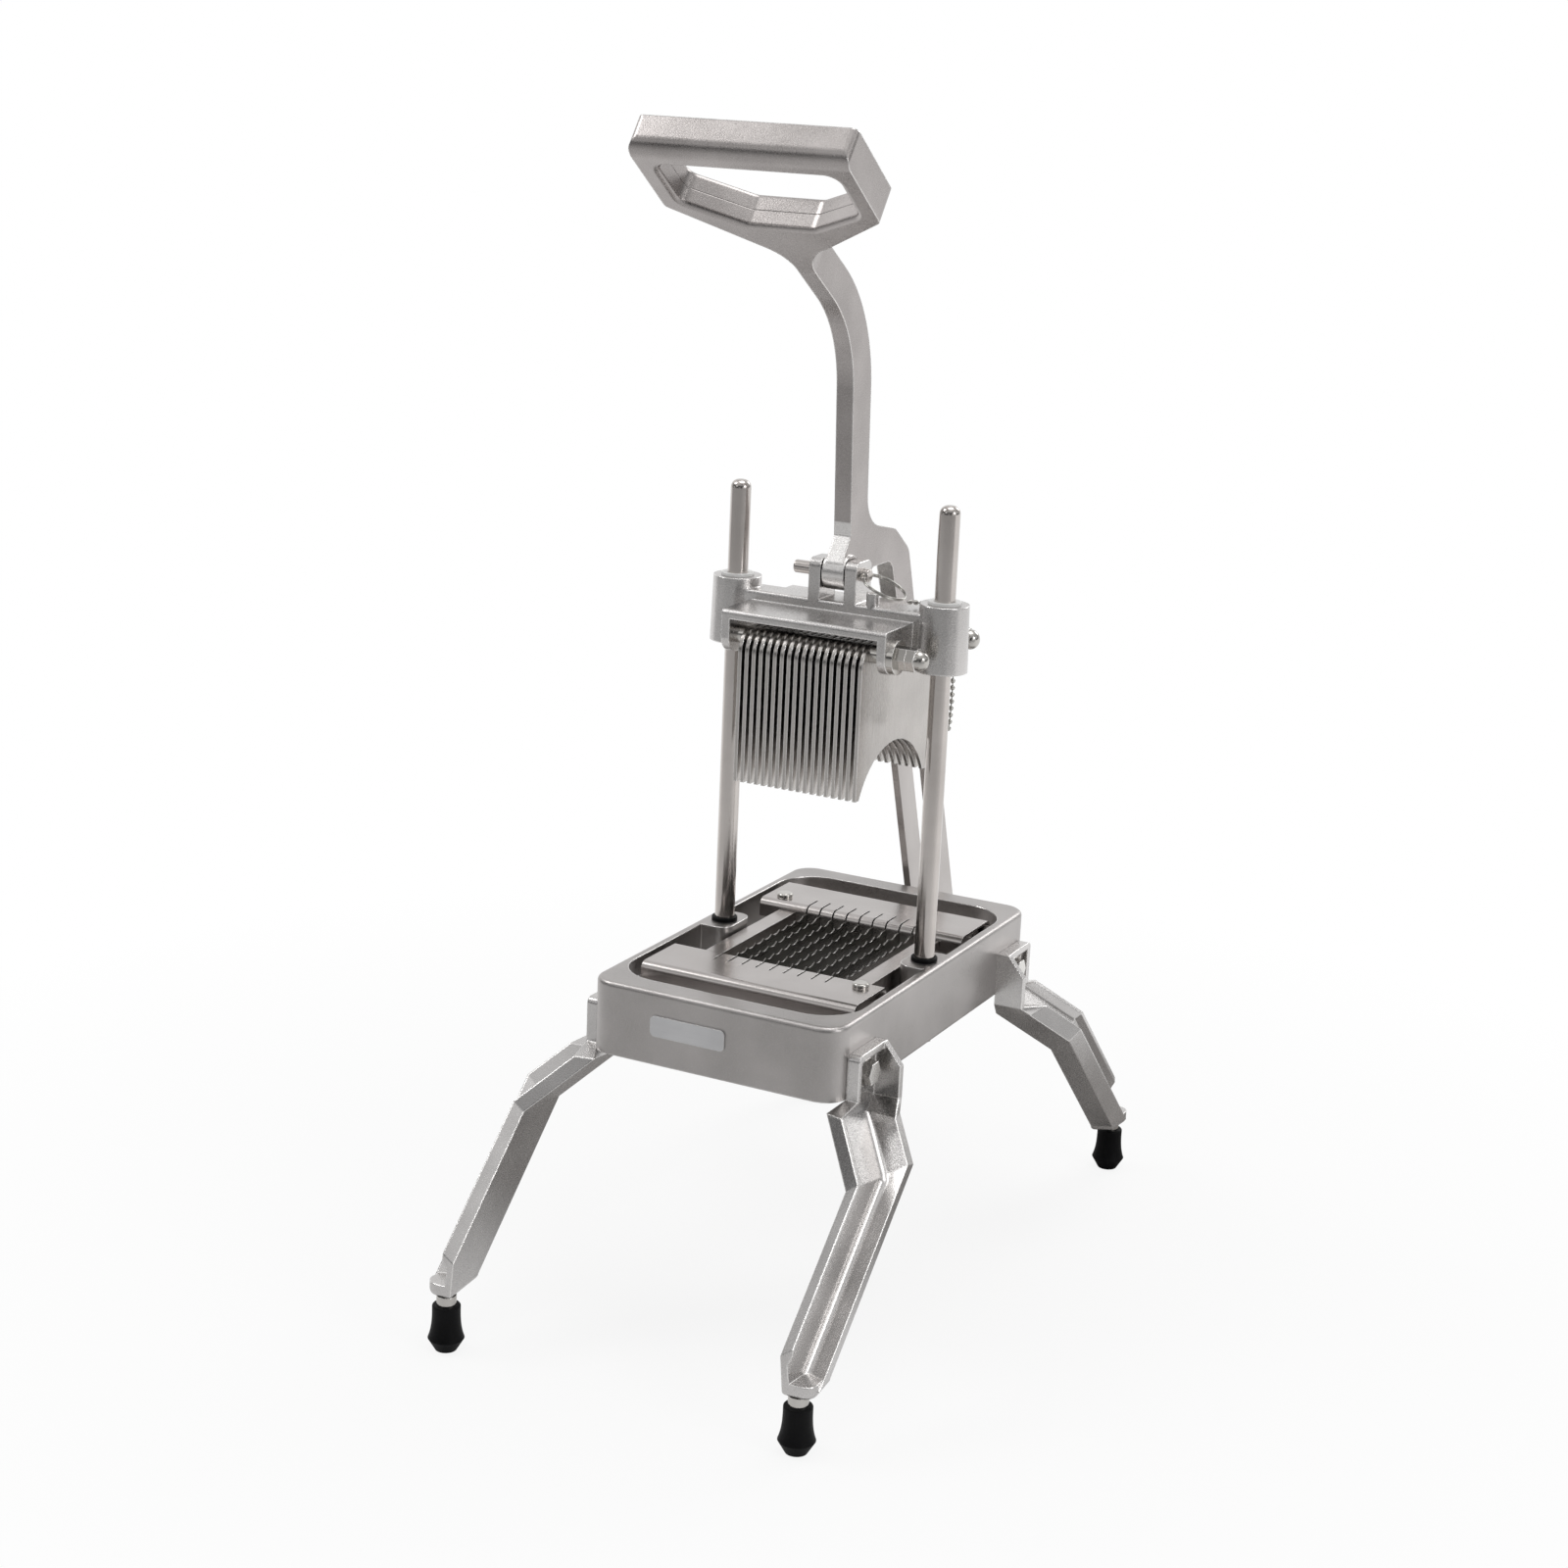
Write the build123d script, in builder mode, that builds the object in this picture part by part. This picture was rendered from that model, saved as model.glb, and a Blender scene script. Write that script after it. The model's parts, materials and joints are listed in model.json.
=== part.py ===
from build123d import *

import os
from math import cos, hypot, radians, sin, tan

# Manual vegetable slicer: a lever drives a comb of pusher plates down two rods, through a blade cartridge.
# Millimetres. X to the right, Y to the back, Z up. The origin is on the floor, midway between the feet.

# Base casting
base_width = 168.0
base_depth = 281.2
base_bottom = 165.2
base_height = 45.9
base_corner = 15.0
base_top_round = 3.0
side_wall = 6.0
end_rim = 17.0
opening_corner = 28.0
rod_inset = 13.5
rod_boss_reach = 11.0
rod_boss_width = 34.0
rod_boss_round = 8.0
ledge_thickness = 6.0
ledge_overlap = 8.0
wall_bite = 1.0
base_side = base_width / 2
base_end = base_depth / 2
base_top = base_bottom + base_height
opening_half_width = base_side - side_wall
opening_half_depth = base_end - end_rim
rod_x = base_side - rod_inset
rod_boss_inner = rod_x - rod_boss_reach

# Blank badge place on the front of the base
badge_width = 50.0
badge_height = 13.0
badge_thickness = 1.2
badge_corner = 3.0
badge_x = -15.0
badge_rise = 24.8
badge_z = base_bottom + badge_rise

# Guide rods, bumpers and nuts
rod_diameter = 12.7
rod_y = 4.7
rod_rise = 284.4
rod_top = base_top + rod_rise
rod_dome = 5.0
rod_seat_depth = 26.0
rod_tail_diameter = 8.0
rod_nut_thickness = 6.5
rod_nut_width = 13.0
tail_beyond_nut = 2.0
bumper_diameter = 16.5
bumper_height = 2.5
bumper_round = 0.8

# Fits
running_clearance = 0.1
thread_clearance = 0.1
seat_clearance = 0.3

# Blade cartridge
cartridge_front_gap = 25.8
cartridge_rear_gap = 20.4
window_length = 109.0
plate_side_gap = 5.5
sheet = 1.5
lip_depth = 12.0
bend_radius = 5.0
blade_pitch = 9.525
blade_edge_gap = 4.0
blade_thickness = 0.7
blade_height = 18.0
blade_drop = 5.0
blade_ledge_gap = 1.0
scallop_pitch = 11.0
scallop_depth = 1.8
slit_width = 1.2
slit_length = 16.0
rail_width = 11.5
rail_flange_thickness = 3.0
rail_flange_drop = 24.0
rail_flange_end_gap = 1.0
rail_pad_width = 9.5
rail_pad_inset = 5.5
rail_end_gap = 4.0
rail_pad_end_gap = 6.5
blade_pin_diameter = 4.0
blade_pin_inset = 6.0
blade_pin_drop = 8.5
cartridge_screw_head = 10.5
cartridge_screw_head_height = 3.0
cartridge_screw_shank = 4.0
cartridge_screw_length = 8.0
cartridge_screw_edge = 7.0
cartridge_screw_inset = 11.5
cartridge_front = cartridge_front_gap - opening_half_depth
cartridge_back = opening_half_depth - cartridge_rear_gap
cartridge_y = (cartridge_front + cartridge_back) / 2
plate_depth = (cartridge_back - cartridge_front - window_length) / 2
plate_half_width = opening_half_width - plate_side_gap
rail_pad_outer = plate_half_width - rail_pad_inset
rail_outer = rail_pad_outer - rail_pad_width
rail_inner = rail_outer - rail_width
rail_reach = plate_depth - rail_end_gap
blade_reach = plate_depth - ledge_overlap - blade_ledge_gap
blade_count = 2 * int((rail_inner - blade_edge_gap) / blade_pitch) + 1
cartridge_screw_x = rail_pad_outer - cartridge_screw_edge

# Push head, in its raised place over the base
head_lift = 212.9
roof_top = base_top + head_lift
roof_rod_gap = 15.5
roof_half_width = rod_x - roof_rod_gap
roof_half_depth = 48.0
roof_thickness = 5.5
roof_front_round = 2.5
skirt_thickness = 5.5
skirt_drop = 18.0
skirt_bottom = roof_top - skirt_drop
beam_depth = 21.5
beam_rise = 6.0
beam_top = roof_top + beam_rise
beam_rod_gap = 8.5
beam_reach = rod_x - beam_rod_gap
beam_round = 2.0
gusset_drop = 22.0
gusset_bottom = roof_top - gusset_drop
head_boss_diameter = 32.0
head_boss_draft = 1.4
head_boss_drop = 29.0
head_boss_bottom = roof_top - head_boss_drop
head_boss_rise = 12.0
head_boss_top = roof_top + head_boss_rise
bushing_diameter = 18.0
bushing_flange = 20.5
bushing_flange_height = 1.6
ear_gap = 1.0
ear_thickness = 7.6
ear_cap = 8.5
ear_round = 5.0
nub_diameter = 8.0
nub_x = 26.0
nub_height = 14.0
nub_top = roof_top + nub_height

# Pusher plates and their axles
plate_count = 2 * blade_count
plate_pitch = blade_pitch / 2
plate_thickness = 2.4
pusher_half_depth = 50.0
pusher_height = 94.5
pusher_roof_gap = 5.0
pusher_top = roof_top - roof_thickness - pusher_roof_gap
pusher_tip = pusher_top - pusher_height
pusher_top_corner = 14.0
arch_half_span = 45.5
arch_rise = 28.0
axle_diameter = 8.0
axle_offset = 37.0
axle_drop = 5.5
axle_z = pusher_top - axle_drop
axle_lobe = 11.0
spacer_diameter = 11.0
axle_head_diameter = 14.0
axle_head_height = 2.5
axle_washer_diameter = 21.0
axle_washer_thickness = 4.4
axle_nut_width = 13.0
axle_nut_thickness = 6.4
acorn_length = 12.7
acorn_hex_length = 5.6
acorn_wall = 2.0

# Handle, in (y, z) from its pivot
pivot_rise = 22.5
pivot_z = roof_top + pivot_rise
handle_thickness = 11.3
lug_radius = 11.0
lug_width = 14.6
lug_half_width = lug_width / 2
ear_inner = lug_half_width + ear_gap
ear_outer = ear_inner + ear_thickness
ear_top = pivot_z + ear_cap
link_pivot_y = 92.0
link_pivot_z = -46.5
notch_front = (30.5, -11.0)
notch_top_front = (30.5, -1.5)
notch_top_rear = (61.5, -1.5)
rear_leg_front = (81.4, -49.8)
rear_leg_back = (102.4, -43.2)
hump_back = (86.5, 2.5)
hump_top = (64.5, 18.5)
hump_neck = (22.6, 27.3)
lever_back_bend = (16.6, 158.6)
lever_front_bend = (-8.0, 148.0)
lever_front_foot = (0.5, 22.0)
lever_toe = (-9.5, 7.0)
notch_rear_round = 9.0
hump_corner_round = 14.0
hump_top_round = 18.0
hump_neck_round = 22.0
lever_back_round = 94.0
lever_front_round = 70.0
notch_round = 6.0

# Grip loop, in its own tilted plane: x across, u from the grip towards the stem
loop_y = -156.7
loop_z = 251.5
loop_tilt = 35.7
loop_thickness = 22.0
loop_half_width = 67.5
loop_side_length = 57.0
loop_neck_u = 101.3
loop_neck_round = 28.0
stem_start = 117.0
grip_width = 15.5
loop_side_width = 11.5
window_side_length = 52.5
window_bottom_u = 71.0
window_bottom_half = 21.0
loop_corner = 4.0
loop_window_corner = 8.0
grip_round = 9.0
grip_top_round = 2.5
loop_inner_round = 3.0

# Links between the handle's rear leg and the base
link_thickness = 4.7
link_gap = 0.7
link_width = 20.4
link_foot_setback = 32.6
link_foot_rise = 16.8
link_foot_y = base_end + link_foot_setback
link_foot_z = base_bottom + link_foot_rise
link_bolt_diameter = 8.0
link_head_diameter = 14.0
link_head_height = 4.5
link_nut_width = 13.0
link_nut_thickness = 6.5
base_lug_radius = 11.0
base_lug_rise = 37.8
base_lug_top = base_bottom + base_lug_rise

# Release pin, ring and tether chain
pin_diameter = 8.0
pin_left_reach = 14.6
pin_left = -ear_outer - pin_left_reach
pin_right_reach = 4.6
pin_right = ear_outer + pin_right_reach
pin_end_round = 1.0
ring_hole_inset = 3.0
ring_hole_x = pin_right - ring_hole_inset
ring_hole_diameter = 3.6
ring_diameter = 28.0
ring_wire = 2.2
ring_dip = 24.0
chain_diameter = 3.2
anchor_y = 25.0
anchor_drop = 14.0
anchor_z = roof_top - anchor_drop
anchor_diameter = 4.0
anchor_head_diameter = 7.0
anchor_head_length = 2.0
anchor_length = 9.5
anchor_chain_x = 60.8
chain_link_hole = 0.2

# Legs: a bent channel, drawn as the section at the knee, pushed down to the toe and up to the hip.
# Above the hip it draws in to the bolted pad. The knee's points are measured from the front right
# corner of the base's underside.
knee_rear_offset = (28.8, 16.8, -42.2)
knee_front_offset = (24.0, -31.6, -35.5)
knee_rim_offset = (44.8, 6.8, -28.2)
upper_leg_axis = Vector(0.56, -0.60, -0.57).normalized()
lower_leg_axis = Vector(0.0, -0.722, -0.692).normalized()
upper_leg_length = 82.0
leg_section = [
    (0.0, 0.0),
    (-3.0, 16.5),
    (11.0, 21.5),
    (15.0, 6.0),
    (42.0, 4.8),
    (45.5, 9.2),
    (49.0, 9.2),
    (49.1, 0.0),
]
valley_round = 4.0
hip_drop = 7.4
hip_tilt = 10.0
foot_outset = 4.3
foot_ahead = 23.385
toe_reach = 7.0
toe_height = 8.5
toe_corner = 8.0
toe_bottom_round = 3.5
pad_inset = 12.8
pad_length = 37.0
pad_front = base_end - pad_inset
pad_rear = pad_front - pad_length
pad_rise = 27.8
pad_top = base_bottom + pad_rise
pad_depth = 8.0
pad_web = 3.0
pad_wall = 4.5
pad_front_wall = 4.0
pad_flange_depth = 19.2
pad_shoulder_rise = 14.3
pad_flange_shoulder = base_bottom + pad_shoulder_rise
pad_corner = 4.0
leg_bolt_inset = 30.8
leg_bolt_y = base_end - leg_bolt_inset
leg_bolt_rise = 12.8
leg_bolt_z = base_bottom + leg_bolt_rise
leg_bolt_diameter = 8.0
leg_bolt_head_width = 13.0
leg_bolt_head_height = 5.3
leg_washer_diameter = 18.0
leg_washer_thickness = 1.6
leg_bolt_grip = 14.0

# Feet
tip_bottom_radius = 6.5
tip_max_radius = 10.95
tip_max_height = 7.5
tip_flare_radius = 9.5
tip_flare_height = 12.5
tip_waist_radius = 8.6
tip_waist_height = 20.0
tip_top_radius = 8.5
tip_height = 29.0
tip_top_round = 1.2
stud_diameter = 8.0
stud_collar_diameter = 12.0
stud_collar_height = 6.0
stud_depth_in_tip = 16.0
stud_depth_in_leg = 6.0
leg_bottom = tip_height + stud_collar_height

os.makedirs("parts", exist_ok=True)


def save(piece, label):
    piece.label = label
    export_step(piece, f"parts/{label}.step")


def hexagon(width):
    return RegularPolygon(width / 2, 6, major_radius=False)


def mirrored(piece, about):
    with BuildPart() as twin:
        mirror(piece, about=about)
    return twin.part


# Base casting: a rounded frame with rod bosses, cartridge ledges and the rear lug
ledge_top = base_top - lip_depth
rod_places = [(rod_x, rod_y), (-rod_x, rod_y)]
link_inner = lug_half_width + link_gap

with BuildPart() as base_frame:
    with BuildSketch(Plane.XY.offset(base_bottom)) as base_outline:
        RectangleRounded(base_width, base_depth, base_corner)
        RectangleRounded(2 * opening_half_width, 2 * opening_half_depth, opening_corner, mode=Mode.SUBTRACT)
        boss_reach = opening_half_width + wall_bite - rod_boss_inner
        with Locations((rod_boss_inner + boss_reach / 2, rod_y), (-rod_boss_inner - boss_reach / 2, rod_y)):
            Rectangle(boss_reach, rod_boss_width)
        inner_corners = base_outline.vertices().filter_by(lambda v: abs(abs(v.X) - rod_boss_inner) < 0.01)
        fillet(inner_corners, rod_boss_round)
    extrude(amount=base_height)
    fillet(base_frame.faces().sort_by(Axis.Z)[-1].outer_wire().edges(), base_top_round)
    # Ledges that carry the cartridge at the front and at the back
    with BuildSketch(Plane.XY.offset(ledge_top)):
        for near, far in (
            (-opening_half_depth - wall_bite, cartridge_front + ledge_overlap),
            (cartridge_back - ledge_overlap, opening_half_depth + wall_bite),
        ):
            with Locations((0, (near + far) / 2)):
                Rectangle(2 * (opening_half_width + wall_bite), far - near)
    extrude(amount=-ledge_thickness)
    # Lug on the rear wall for the foot of the links
    with BuildSketch(Plane.YZ):
        with BuildLine():
            Polyline(
                (base_end - wall_bite, base_lug_top),
                (link_foot_y, link_foot_z + base_lug_radius),
                (link_foot_y, link_foot_z - base_lug_radius),
                (base_end - wall_bite, link_foot_z - base_lug_radius),
                close=True,
            )
        make_face()
        with Locations((link_foot_y, link_foot_z)):
            Circle(base_lug_radius)
    extrude(amount=lug_half_width, both=True)
    # Bore for the link bolt
    with BuildSketch(Plane.YZ):
        with Locations((link_foot_y, link_foot_z)):
            Circle(link_bolt_diameter / 2 + running_clearance)
    extrude(amount=lug_half_width, both=True, mode=Mode.SUBTRACT)
    # Seats for the rods, with a narrower hole for each threaded tail
    with Locations((rod_x, rod_y, base_top), (-rod_x, rod_y, base_top)):
        CounterBoreHole(
            rod_tail_diameter / 2 + thread_clearance,
            rod_diameter / 2 + running_clearance,
            rod_seat_depth,
        )
    # Tapped holes for the leg bolts in the corners of the frame
    for side in (-1, 1):
        with BuildSketch(Plane.YZ.offset(side * base_side)):
            with Locations((leg_bolt_y, leg_bolt_z), (-leg_bolt_y, leg_bolt_z)):
                Circle(leg_bolt_diameter / 2 + thread_clearance)
        extrude(amount=-side * (leg_bolt_grip + thread_clearance), mode=Mode.SUBTRACT)
save(base_frame.part, "base_frame")

with BuildPart() as badge_plate:
    with BuildSketch(Plane.XZ.offset(base_end)):
        with Locations((badge_x, badge_z)):
            RectangleRounded(badge_width, badge_height, badge_corner)
    extrude(amount=badge_thickness)
save(badge_plate.part, "badge_plate")

# Guide rods with domed tops, seated in the base and held by nuts below
with BuildPart() as guide_rod:
    with BuildSketch(Plane.XY.offset(base_top - rod_seat_depth)):
        Circle(rod_diameter / 2)
    extrude(amount=rod_top - base_top + rod_seat_depth)
    fillet(guide_rod.edges().sort_by(Axis.Z)[-1], rod_dome)
    tail_bottom = base_bottom - rod_nut_thickness - tail_beyond_nut
    with BuildSketch(Plane.XY.offset(tail_bottom)):
        Circle(rod_tail_diameter / 2)
    extrude(amount=base_top - rod_seat_depth - tail_bottom)
for side, sign in (("right", 1), ("left", -1)):
    save(guide_rod.part.moved(Location((sign * rod_x, rod_y, 0))), f"guide_rod_{side}")

with BuildPart() as rod_bumpers:
    with BuildSketch(Plane.XY.offset(base_top)):
        with Locations(*rod_places):
            Circle(bumper_diameter / 2)
            Circle(rod_diameter / 2 + running_clearance, mode=Mode.SUBTRACT)
    extrude(amount=bumper_height)
    for top in rod_bumpers.faces().group_by(Axis.Z)[-1]:
        fillet(top.outer_wire().edges(), bumper_round)
save(rod_bumpers.part, "rod_bumpers")

with BuildPart() as rod_nuts:
    with BuildSketch(Plane.XY.offset(base_bottom)):
        with Locations(*rod_places):
            hexagon(rod_nut_width)
            Circle(rod_tail_diameter / 2 + thread_clearance, mode=Mode.SUBTRACT)
    extrude(amount=-rod_nut_thickness)
save(rod_nuts.part, "rod_nuts")

# Blade cartridge: two bent sheet plates, two rails, the blades and the pins that carry them
blade_x = [blade_pitch * (i - (blade_count - 1) / 2) for i in range(blade_count)]
plate_under = base_top - sheet
rail_top = base_top - bend_radius
window_front = cartridge_y - window_length / 2
window_back = cartridge_y + window_length / 2
screw_places = [
    (cartridge_screw_x, window_front - cartridge_screw_inset),
    (-cartridge_screw_x, window_back + cartridge_screw_inset),
]


def cartridge_plate(near, far):
    # near is the window edge and far the outer edge, both bent down
    middle = (near + far) / 2
    depth = abs(far - near)
    window_side = 1 if near > far else -1
    slit_middle = near - window_side * slit_length / 2
    with BuildPart() as plate:
        with BuildSketch(Plane.YZ):
            with Locations((middle, base_top - lip_depth)):
                RectangleRounded(depth, 2 * lip_depth, bend_radius)
                inner_height = 2 * (lip_depth - sheet)
                RectangleRounded(depth - 2 * sheet, inner_height, bend_radius - sheet, mode=Mode.SUBTRACT)
            with Locations((middle, base_top - 1.5 * lip_depth)):
                Rectangle(depth, lip_depth, mode=Mode.SUBTRACT)
        extrude(amount=plate_half_width, both=True)
        with BuildSketch(Plane.XY.offset(base_top)):
            with Locations(*[(x, slit_middle) for x in blade_x]):
                Rectangle(slit_width, slit_length)
        extrude(amount=-lip_depth, mode=Mode.SUBTRACT)
        # Notches in the window lip let the rails pass under the plate
        with BuildSketch(Plane.XY.offset(ledge_top)):
            for side in (-1, 1):
                with Locations((side * (rail_inner + rail_outer) / 2, near)):
                    Rectangle(rail_outer - rail_inner + 2 * seat_clearance, 2 * bend_radius)
        extrude(amount=rail_top + seat_clearance - ledge_top, mode=Mode.SUBTRACT)
        for x, y in screw_places:
            if min(near, far) < y < max(near, far):
                with Locations((x, y, base_top)):
                    Hole(cartridge_screw_shank / 2 + thread_clearance, lip_depth)
    return plate.part


save(cartridge_plate(window_front, window_front - plate_depth), "cartridge_front_plate")
save(cartridge_plate(window_back, window_back + plate_depth), "cartridge_rear_plate")

blade_front = window_front - blade_reach
blade_back = window_back + blade_reach
blade_pin_z = base_top - blade_pin_drop
blade_pin_places = [
    (blade_front + blade_pin_inset, blade_pin_z),
    (blade_back - blade_pin_inset, blade_pin_z),
]
rail_front = window_front - rail_reach
rail_back = window_back + rail_reach
pad_gap = bend_radius + wall_bite

with BuildPart() as cartridge_rail_right:
    with BuildSketch(Plane.XY.offset(ledge_top)):
        with Locations(((rail_inner + rail_outer) / 2, (rail_front + rail_back) / 2)):
            Rectangle(rail_outer - rail_inner, rail_back - rail_front)
    extrude(amount=rail_top - ledge_top)
    # A deep flange hangs from the outer side, between the ledges of the base
    with BuildSketch(Plane.XY.offset(rail_top)):
        flange_front = cartridge_front + ledge_overlap + rail_flange_end_gap
        flange_back = cartridge_back - ledge_overlap - rail_flange_end_gap
        with Locations((rail_outer - rail_flange_thickness / 2, (flange_front + flange_back) / 2)):
            Rectangle(rail_flange_thickness, flange_back - flange_front)
    extrude(amount=-rail_flange_drop)
    # A taller, wider pad under each plate takes its screw
    with BuildSketch(Plane.XY.offset(ledge_top)):
        rail_pad_length = plate_depth - pad_gap - rail_pad_end_gap
        pad_middle = pad_gap + rail_pad_length / 2
        for pad_y in (window_front - pad_middle, window_back + pad_middle):
            with Locations(((rail_inner + rail_pad_outer) / 2, pad_y)):
                Rectangle(rail_pad_outer - rail_inner, rail_pad_length)
    extrude(amount=plate_under - ledge_top)
    with BuildSketch(Plane.YZ):
        with Locations(*blade_pin_places):
            Circle(blade_pin_diameter / 2 + running_clearance)
    extrude(amount=rail_pad_outer, mode=Mode.SUBTRACT)
    for x, y in screw_places:
        with Locations((abs(x), y, plate_under)):
            Hole(cartridge_screw_shank / 2 + thread_clearance, cartridge_screw_length)
save(cartridge_rail_right.part, "cartridge_rail_right")
save(mirrored(cartridge_rail_right.part, Plane.YZ), "cartridge_rail_left")

scallop_count = int((window_length - 2 * bend_radius) // scallop_pitch)
scallop_radius = (scallop_pitch**2 / 4 + scallop_depth**2) / (2 * scallop_depth)
blade_top = base_top - blade_drop
with BuildPart() as cartridge_blade:
    with BuildSketch(Plane.YZ):
        with Locations(((blade_front + blade_back) / 2, blade_top - blade_height / 2)):
            Rectangle(blade_back - blade_front, blade_height)
        with Locations((cartridge_y, blade_top - scallop_depth + scallop_radius)):
            with GridLocations(scallop_pitch, 0, scallop_count, 1):
                Circle(scallop_radius, mode=Mode.SUBTRACT)
        with Locations(*blade_pin_places):
            Circle(blade_pin_diameter / 2 + running_clearance, mode=Mode.SUBTRACT)
    extrude(amount=blade_thickness / 2, both=True)
with BuildPart() as cartridge_blades:
    for x in blade_x:
        add(cartridge_blade.part.moved(Location((x, 0, 0))))
save(cartridge_blades.part, "cartridge_blades")

with BuildPart() as blade_pins:
    with BuildSketch(Plane.YZ):
        with Locations(*blade_pin_places):
            Circle(blade_pin_diameter / 2)
    extrude(amount=rail_pad_outer, both=True)
save(blade_pins.part, "blade_pins")

with BuildPart() as cartridge_screws:
    with BuildSketch(Plane.XY.offset(base_top)):
        with Locations(*screw_places):
            Circle(cartridge_screw_head / 2)
    extrude(amount=cartridge_screw_head_height)
    fillet(cartridge_screws.faces().group_by(Axis.Z)[-1].edges(), cartridge_screw_head_height / 2)
    with BuildSketch(Plane.XY.offset(base_top)):
        with Locations(*screw_places):
            Circle(cartridge_screw_shank / 2)
    extrude(amount=-cartridge_screw_length)
save(cartridge_screws.part, "cartridge_screws")

# Push head: a roofed casting with skirts, two rod bosses on a beam, and a clevis for the handle
roof_under = roof_top - roof_thickness
axle_places = [(rod_y - axle_offset, axle_z), (rod_y + axle_offset, axle_z)]

with BuildPart() as push_head:
    with BuildSketch(Plane.XY.offset(roof_under)):
        with Locations((0, rod_y)):
            Rectangle(2 * roof_half_width, 2 * roof_half_depth)
    extrude(amount=roof_thickness)
    fillet(push_head.edges().filter_by(Axis.X).group_by(Axis.Z)[-1], roof_front_round)
    # Skirts with a round lobe at each axle
    for side in (-1, 1):
        with BuildSketch(Plane.YZ.offset(side * (roof_half_width - skirt_thickness / 2))):
            with Locations((rod_y, (roof_under + skirt_bottom) / 2)):
                Rectangle(2 * roof_half_depth, roof_under - skirt_bottom)
            with Locations(*axle_places):
                Circle(axle_lobe)
        extrude(amount=skirt_thickness / 2, both=True)
    # Beam over the roof, with a gusset down to each rod boss
    with BuildSketch(Plane.XY.offset(roof_under)):
        with Locations((0, rod_y)):
            Rectangle(2 * beam_reach, beam_depth)
    extrude(amount=beam_top - roof_under)
    fillet(push_head.edges().filter_by(Axis.X).group_by(Axis.Z)[-1], beam_round)
    with BuildSketch(Plane.XY.offset(gusset_bottom)):
        gusset_inner = roof_half_width - skirt_thickness
        for side in (-1, 1):
            with Locations((side * (gusset_inner + beam_reach) / 2, rod_y)):
                Rectangle(beam_reach - gusset_inner, beam_depth)
    extrude(amount=roof_under - gusset_bottom)
    with BuildSketch(Plane.XY.offset(head_boss_bottom)):
        with Locations(*rod_places):
            Circle(head_boss_diameter / 2)
    extrude(amount=head_boss_top - head_boss_bottom, taper=head_boss_draft)
    # Clevis ears for the handle's pivot, and a small cast nub beside them
    with BuildSketch(Plane.XY.offset(roof_top)):
        for side in (-1, 1):
            with Locations((side * (ear_inner + ear_outer) / 2, rod_y)):
                Rectangle(ear_outer - ear_inner, beam_depth)
    extrude(amount=ear_top - roof_top)
    fillet(push_head.edges().filter_by(Axis.X).group_by(Axis.Z)[-1], ear_round)
    with BuildSketch(Plane.XY.offset(roof_top)):
        with Locations((nub_x, rod_y - beam_depth / 2 + nub_diameter / 2)):
            Circle(nub_diameter / 2)
    extrude(amount=nub_top - roof_top)
    # Bores for the bushings, the pin, the axles and the tether screw
    with BuildSketch(Plane.XY.offset(head_boss_bottom)):
        with Locations(*rod_places):
            Circle(bushing_diameter / 2 + running_clearance)
    extrude(amount=head_boss_top - head_boss_bottom, mode=Mode.SUBTRACT)
    with BuildSketch(Plane.YZ):
        with Locations((rod_y, pivot_z)):
            Circle(pin_diameter / 2 + running_clearance)
        with Locations(*axle_places):
            Circle(axle_diameter / 2 + running_clearance)
    extrude(amount=roof_half_width, both=True, mode=Mode.SUBTRACT)
    with BuildSketch(Plane.YZ.offset(roof_half_width - skirt_thickness)):
        with Locations((anchor_y, anchor_z)):
            Circle(anchor_diameter / 2 + thread_clearance)
    extrude(amount=skirt_thickness, mode=Mode.SUBTRACT)
save(push_head.part, "push_head")

with BuildPart() as rod_bushings:
    with BuildSketch(Plane.XY.offset(head_boss_bottom)):
        with Locations(*rod_places):
            Circle(bushing_diameter / 2)
    extrude(amount=head_boss_top - head_boss_bottom)
    with BuildSketch(Plane.XY.offset(head_boss_top)):
        with Locations(*rod_places):
            Circle(bushing_flange / 2)
    extrude(amount=bushing_flange_height)
    with BuildSketch(Plane.XY.offset(head_boss_bottom)):
        with Locations(*rod_places):
            Circle(rod_diameter / 2 + running_clearance)
    extrude(amount=head_boss_top - head_boss_bottom + bushing_flange_height, mode=Mode.SUBTRACT)
save(rod_bushings.part, "rod_bushings")

# Pusher plates, threaded on two axles with spacers between them
arch_radius = (arch_half_span**2 + arch_rise**2) / (2 * arch_rise)
arch_centre_z = pusher_tip + arch_rise - arch_radius
with BuildPart() as pusher_plate:
    with BuildSketch(Plane.YZ) as pusher_outline:
        with Locations((rod_y, (pusher_tip + pusher_top) / 2)):
            Rectangle(2 * pusher_half_depth, pusher_top - pusher_tip)
        fillet(pusher_outline.vertices().group_by(Axis.Y)[-1], pusher_top_corner)
        with Locations((rod_y, arch_centre_z)):
            Circle(arch_radius, mode=Mode.SUBTRACT)
        with Locations(*axle_places):
            Circle(axle_diameter / 2 + running_clearance, mode=Mode.SUBTRACT)
    extrude(amount=plate_thickness / 2, both=True)
plate_x = [plate_pitch * (i - (plate_count - 1) / 2) for i in range(plate_count)]
for number, x in enumerate(plate_x, start=1):
    save(pusher_plate.part.moved(Location((x, 0, 0))), f"pusher_plate_{number:02d}")

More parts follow.
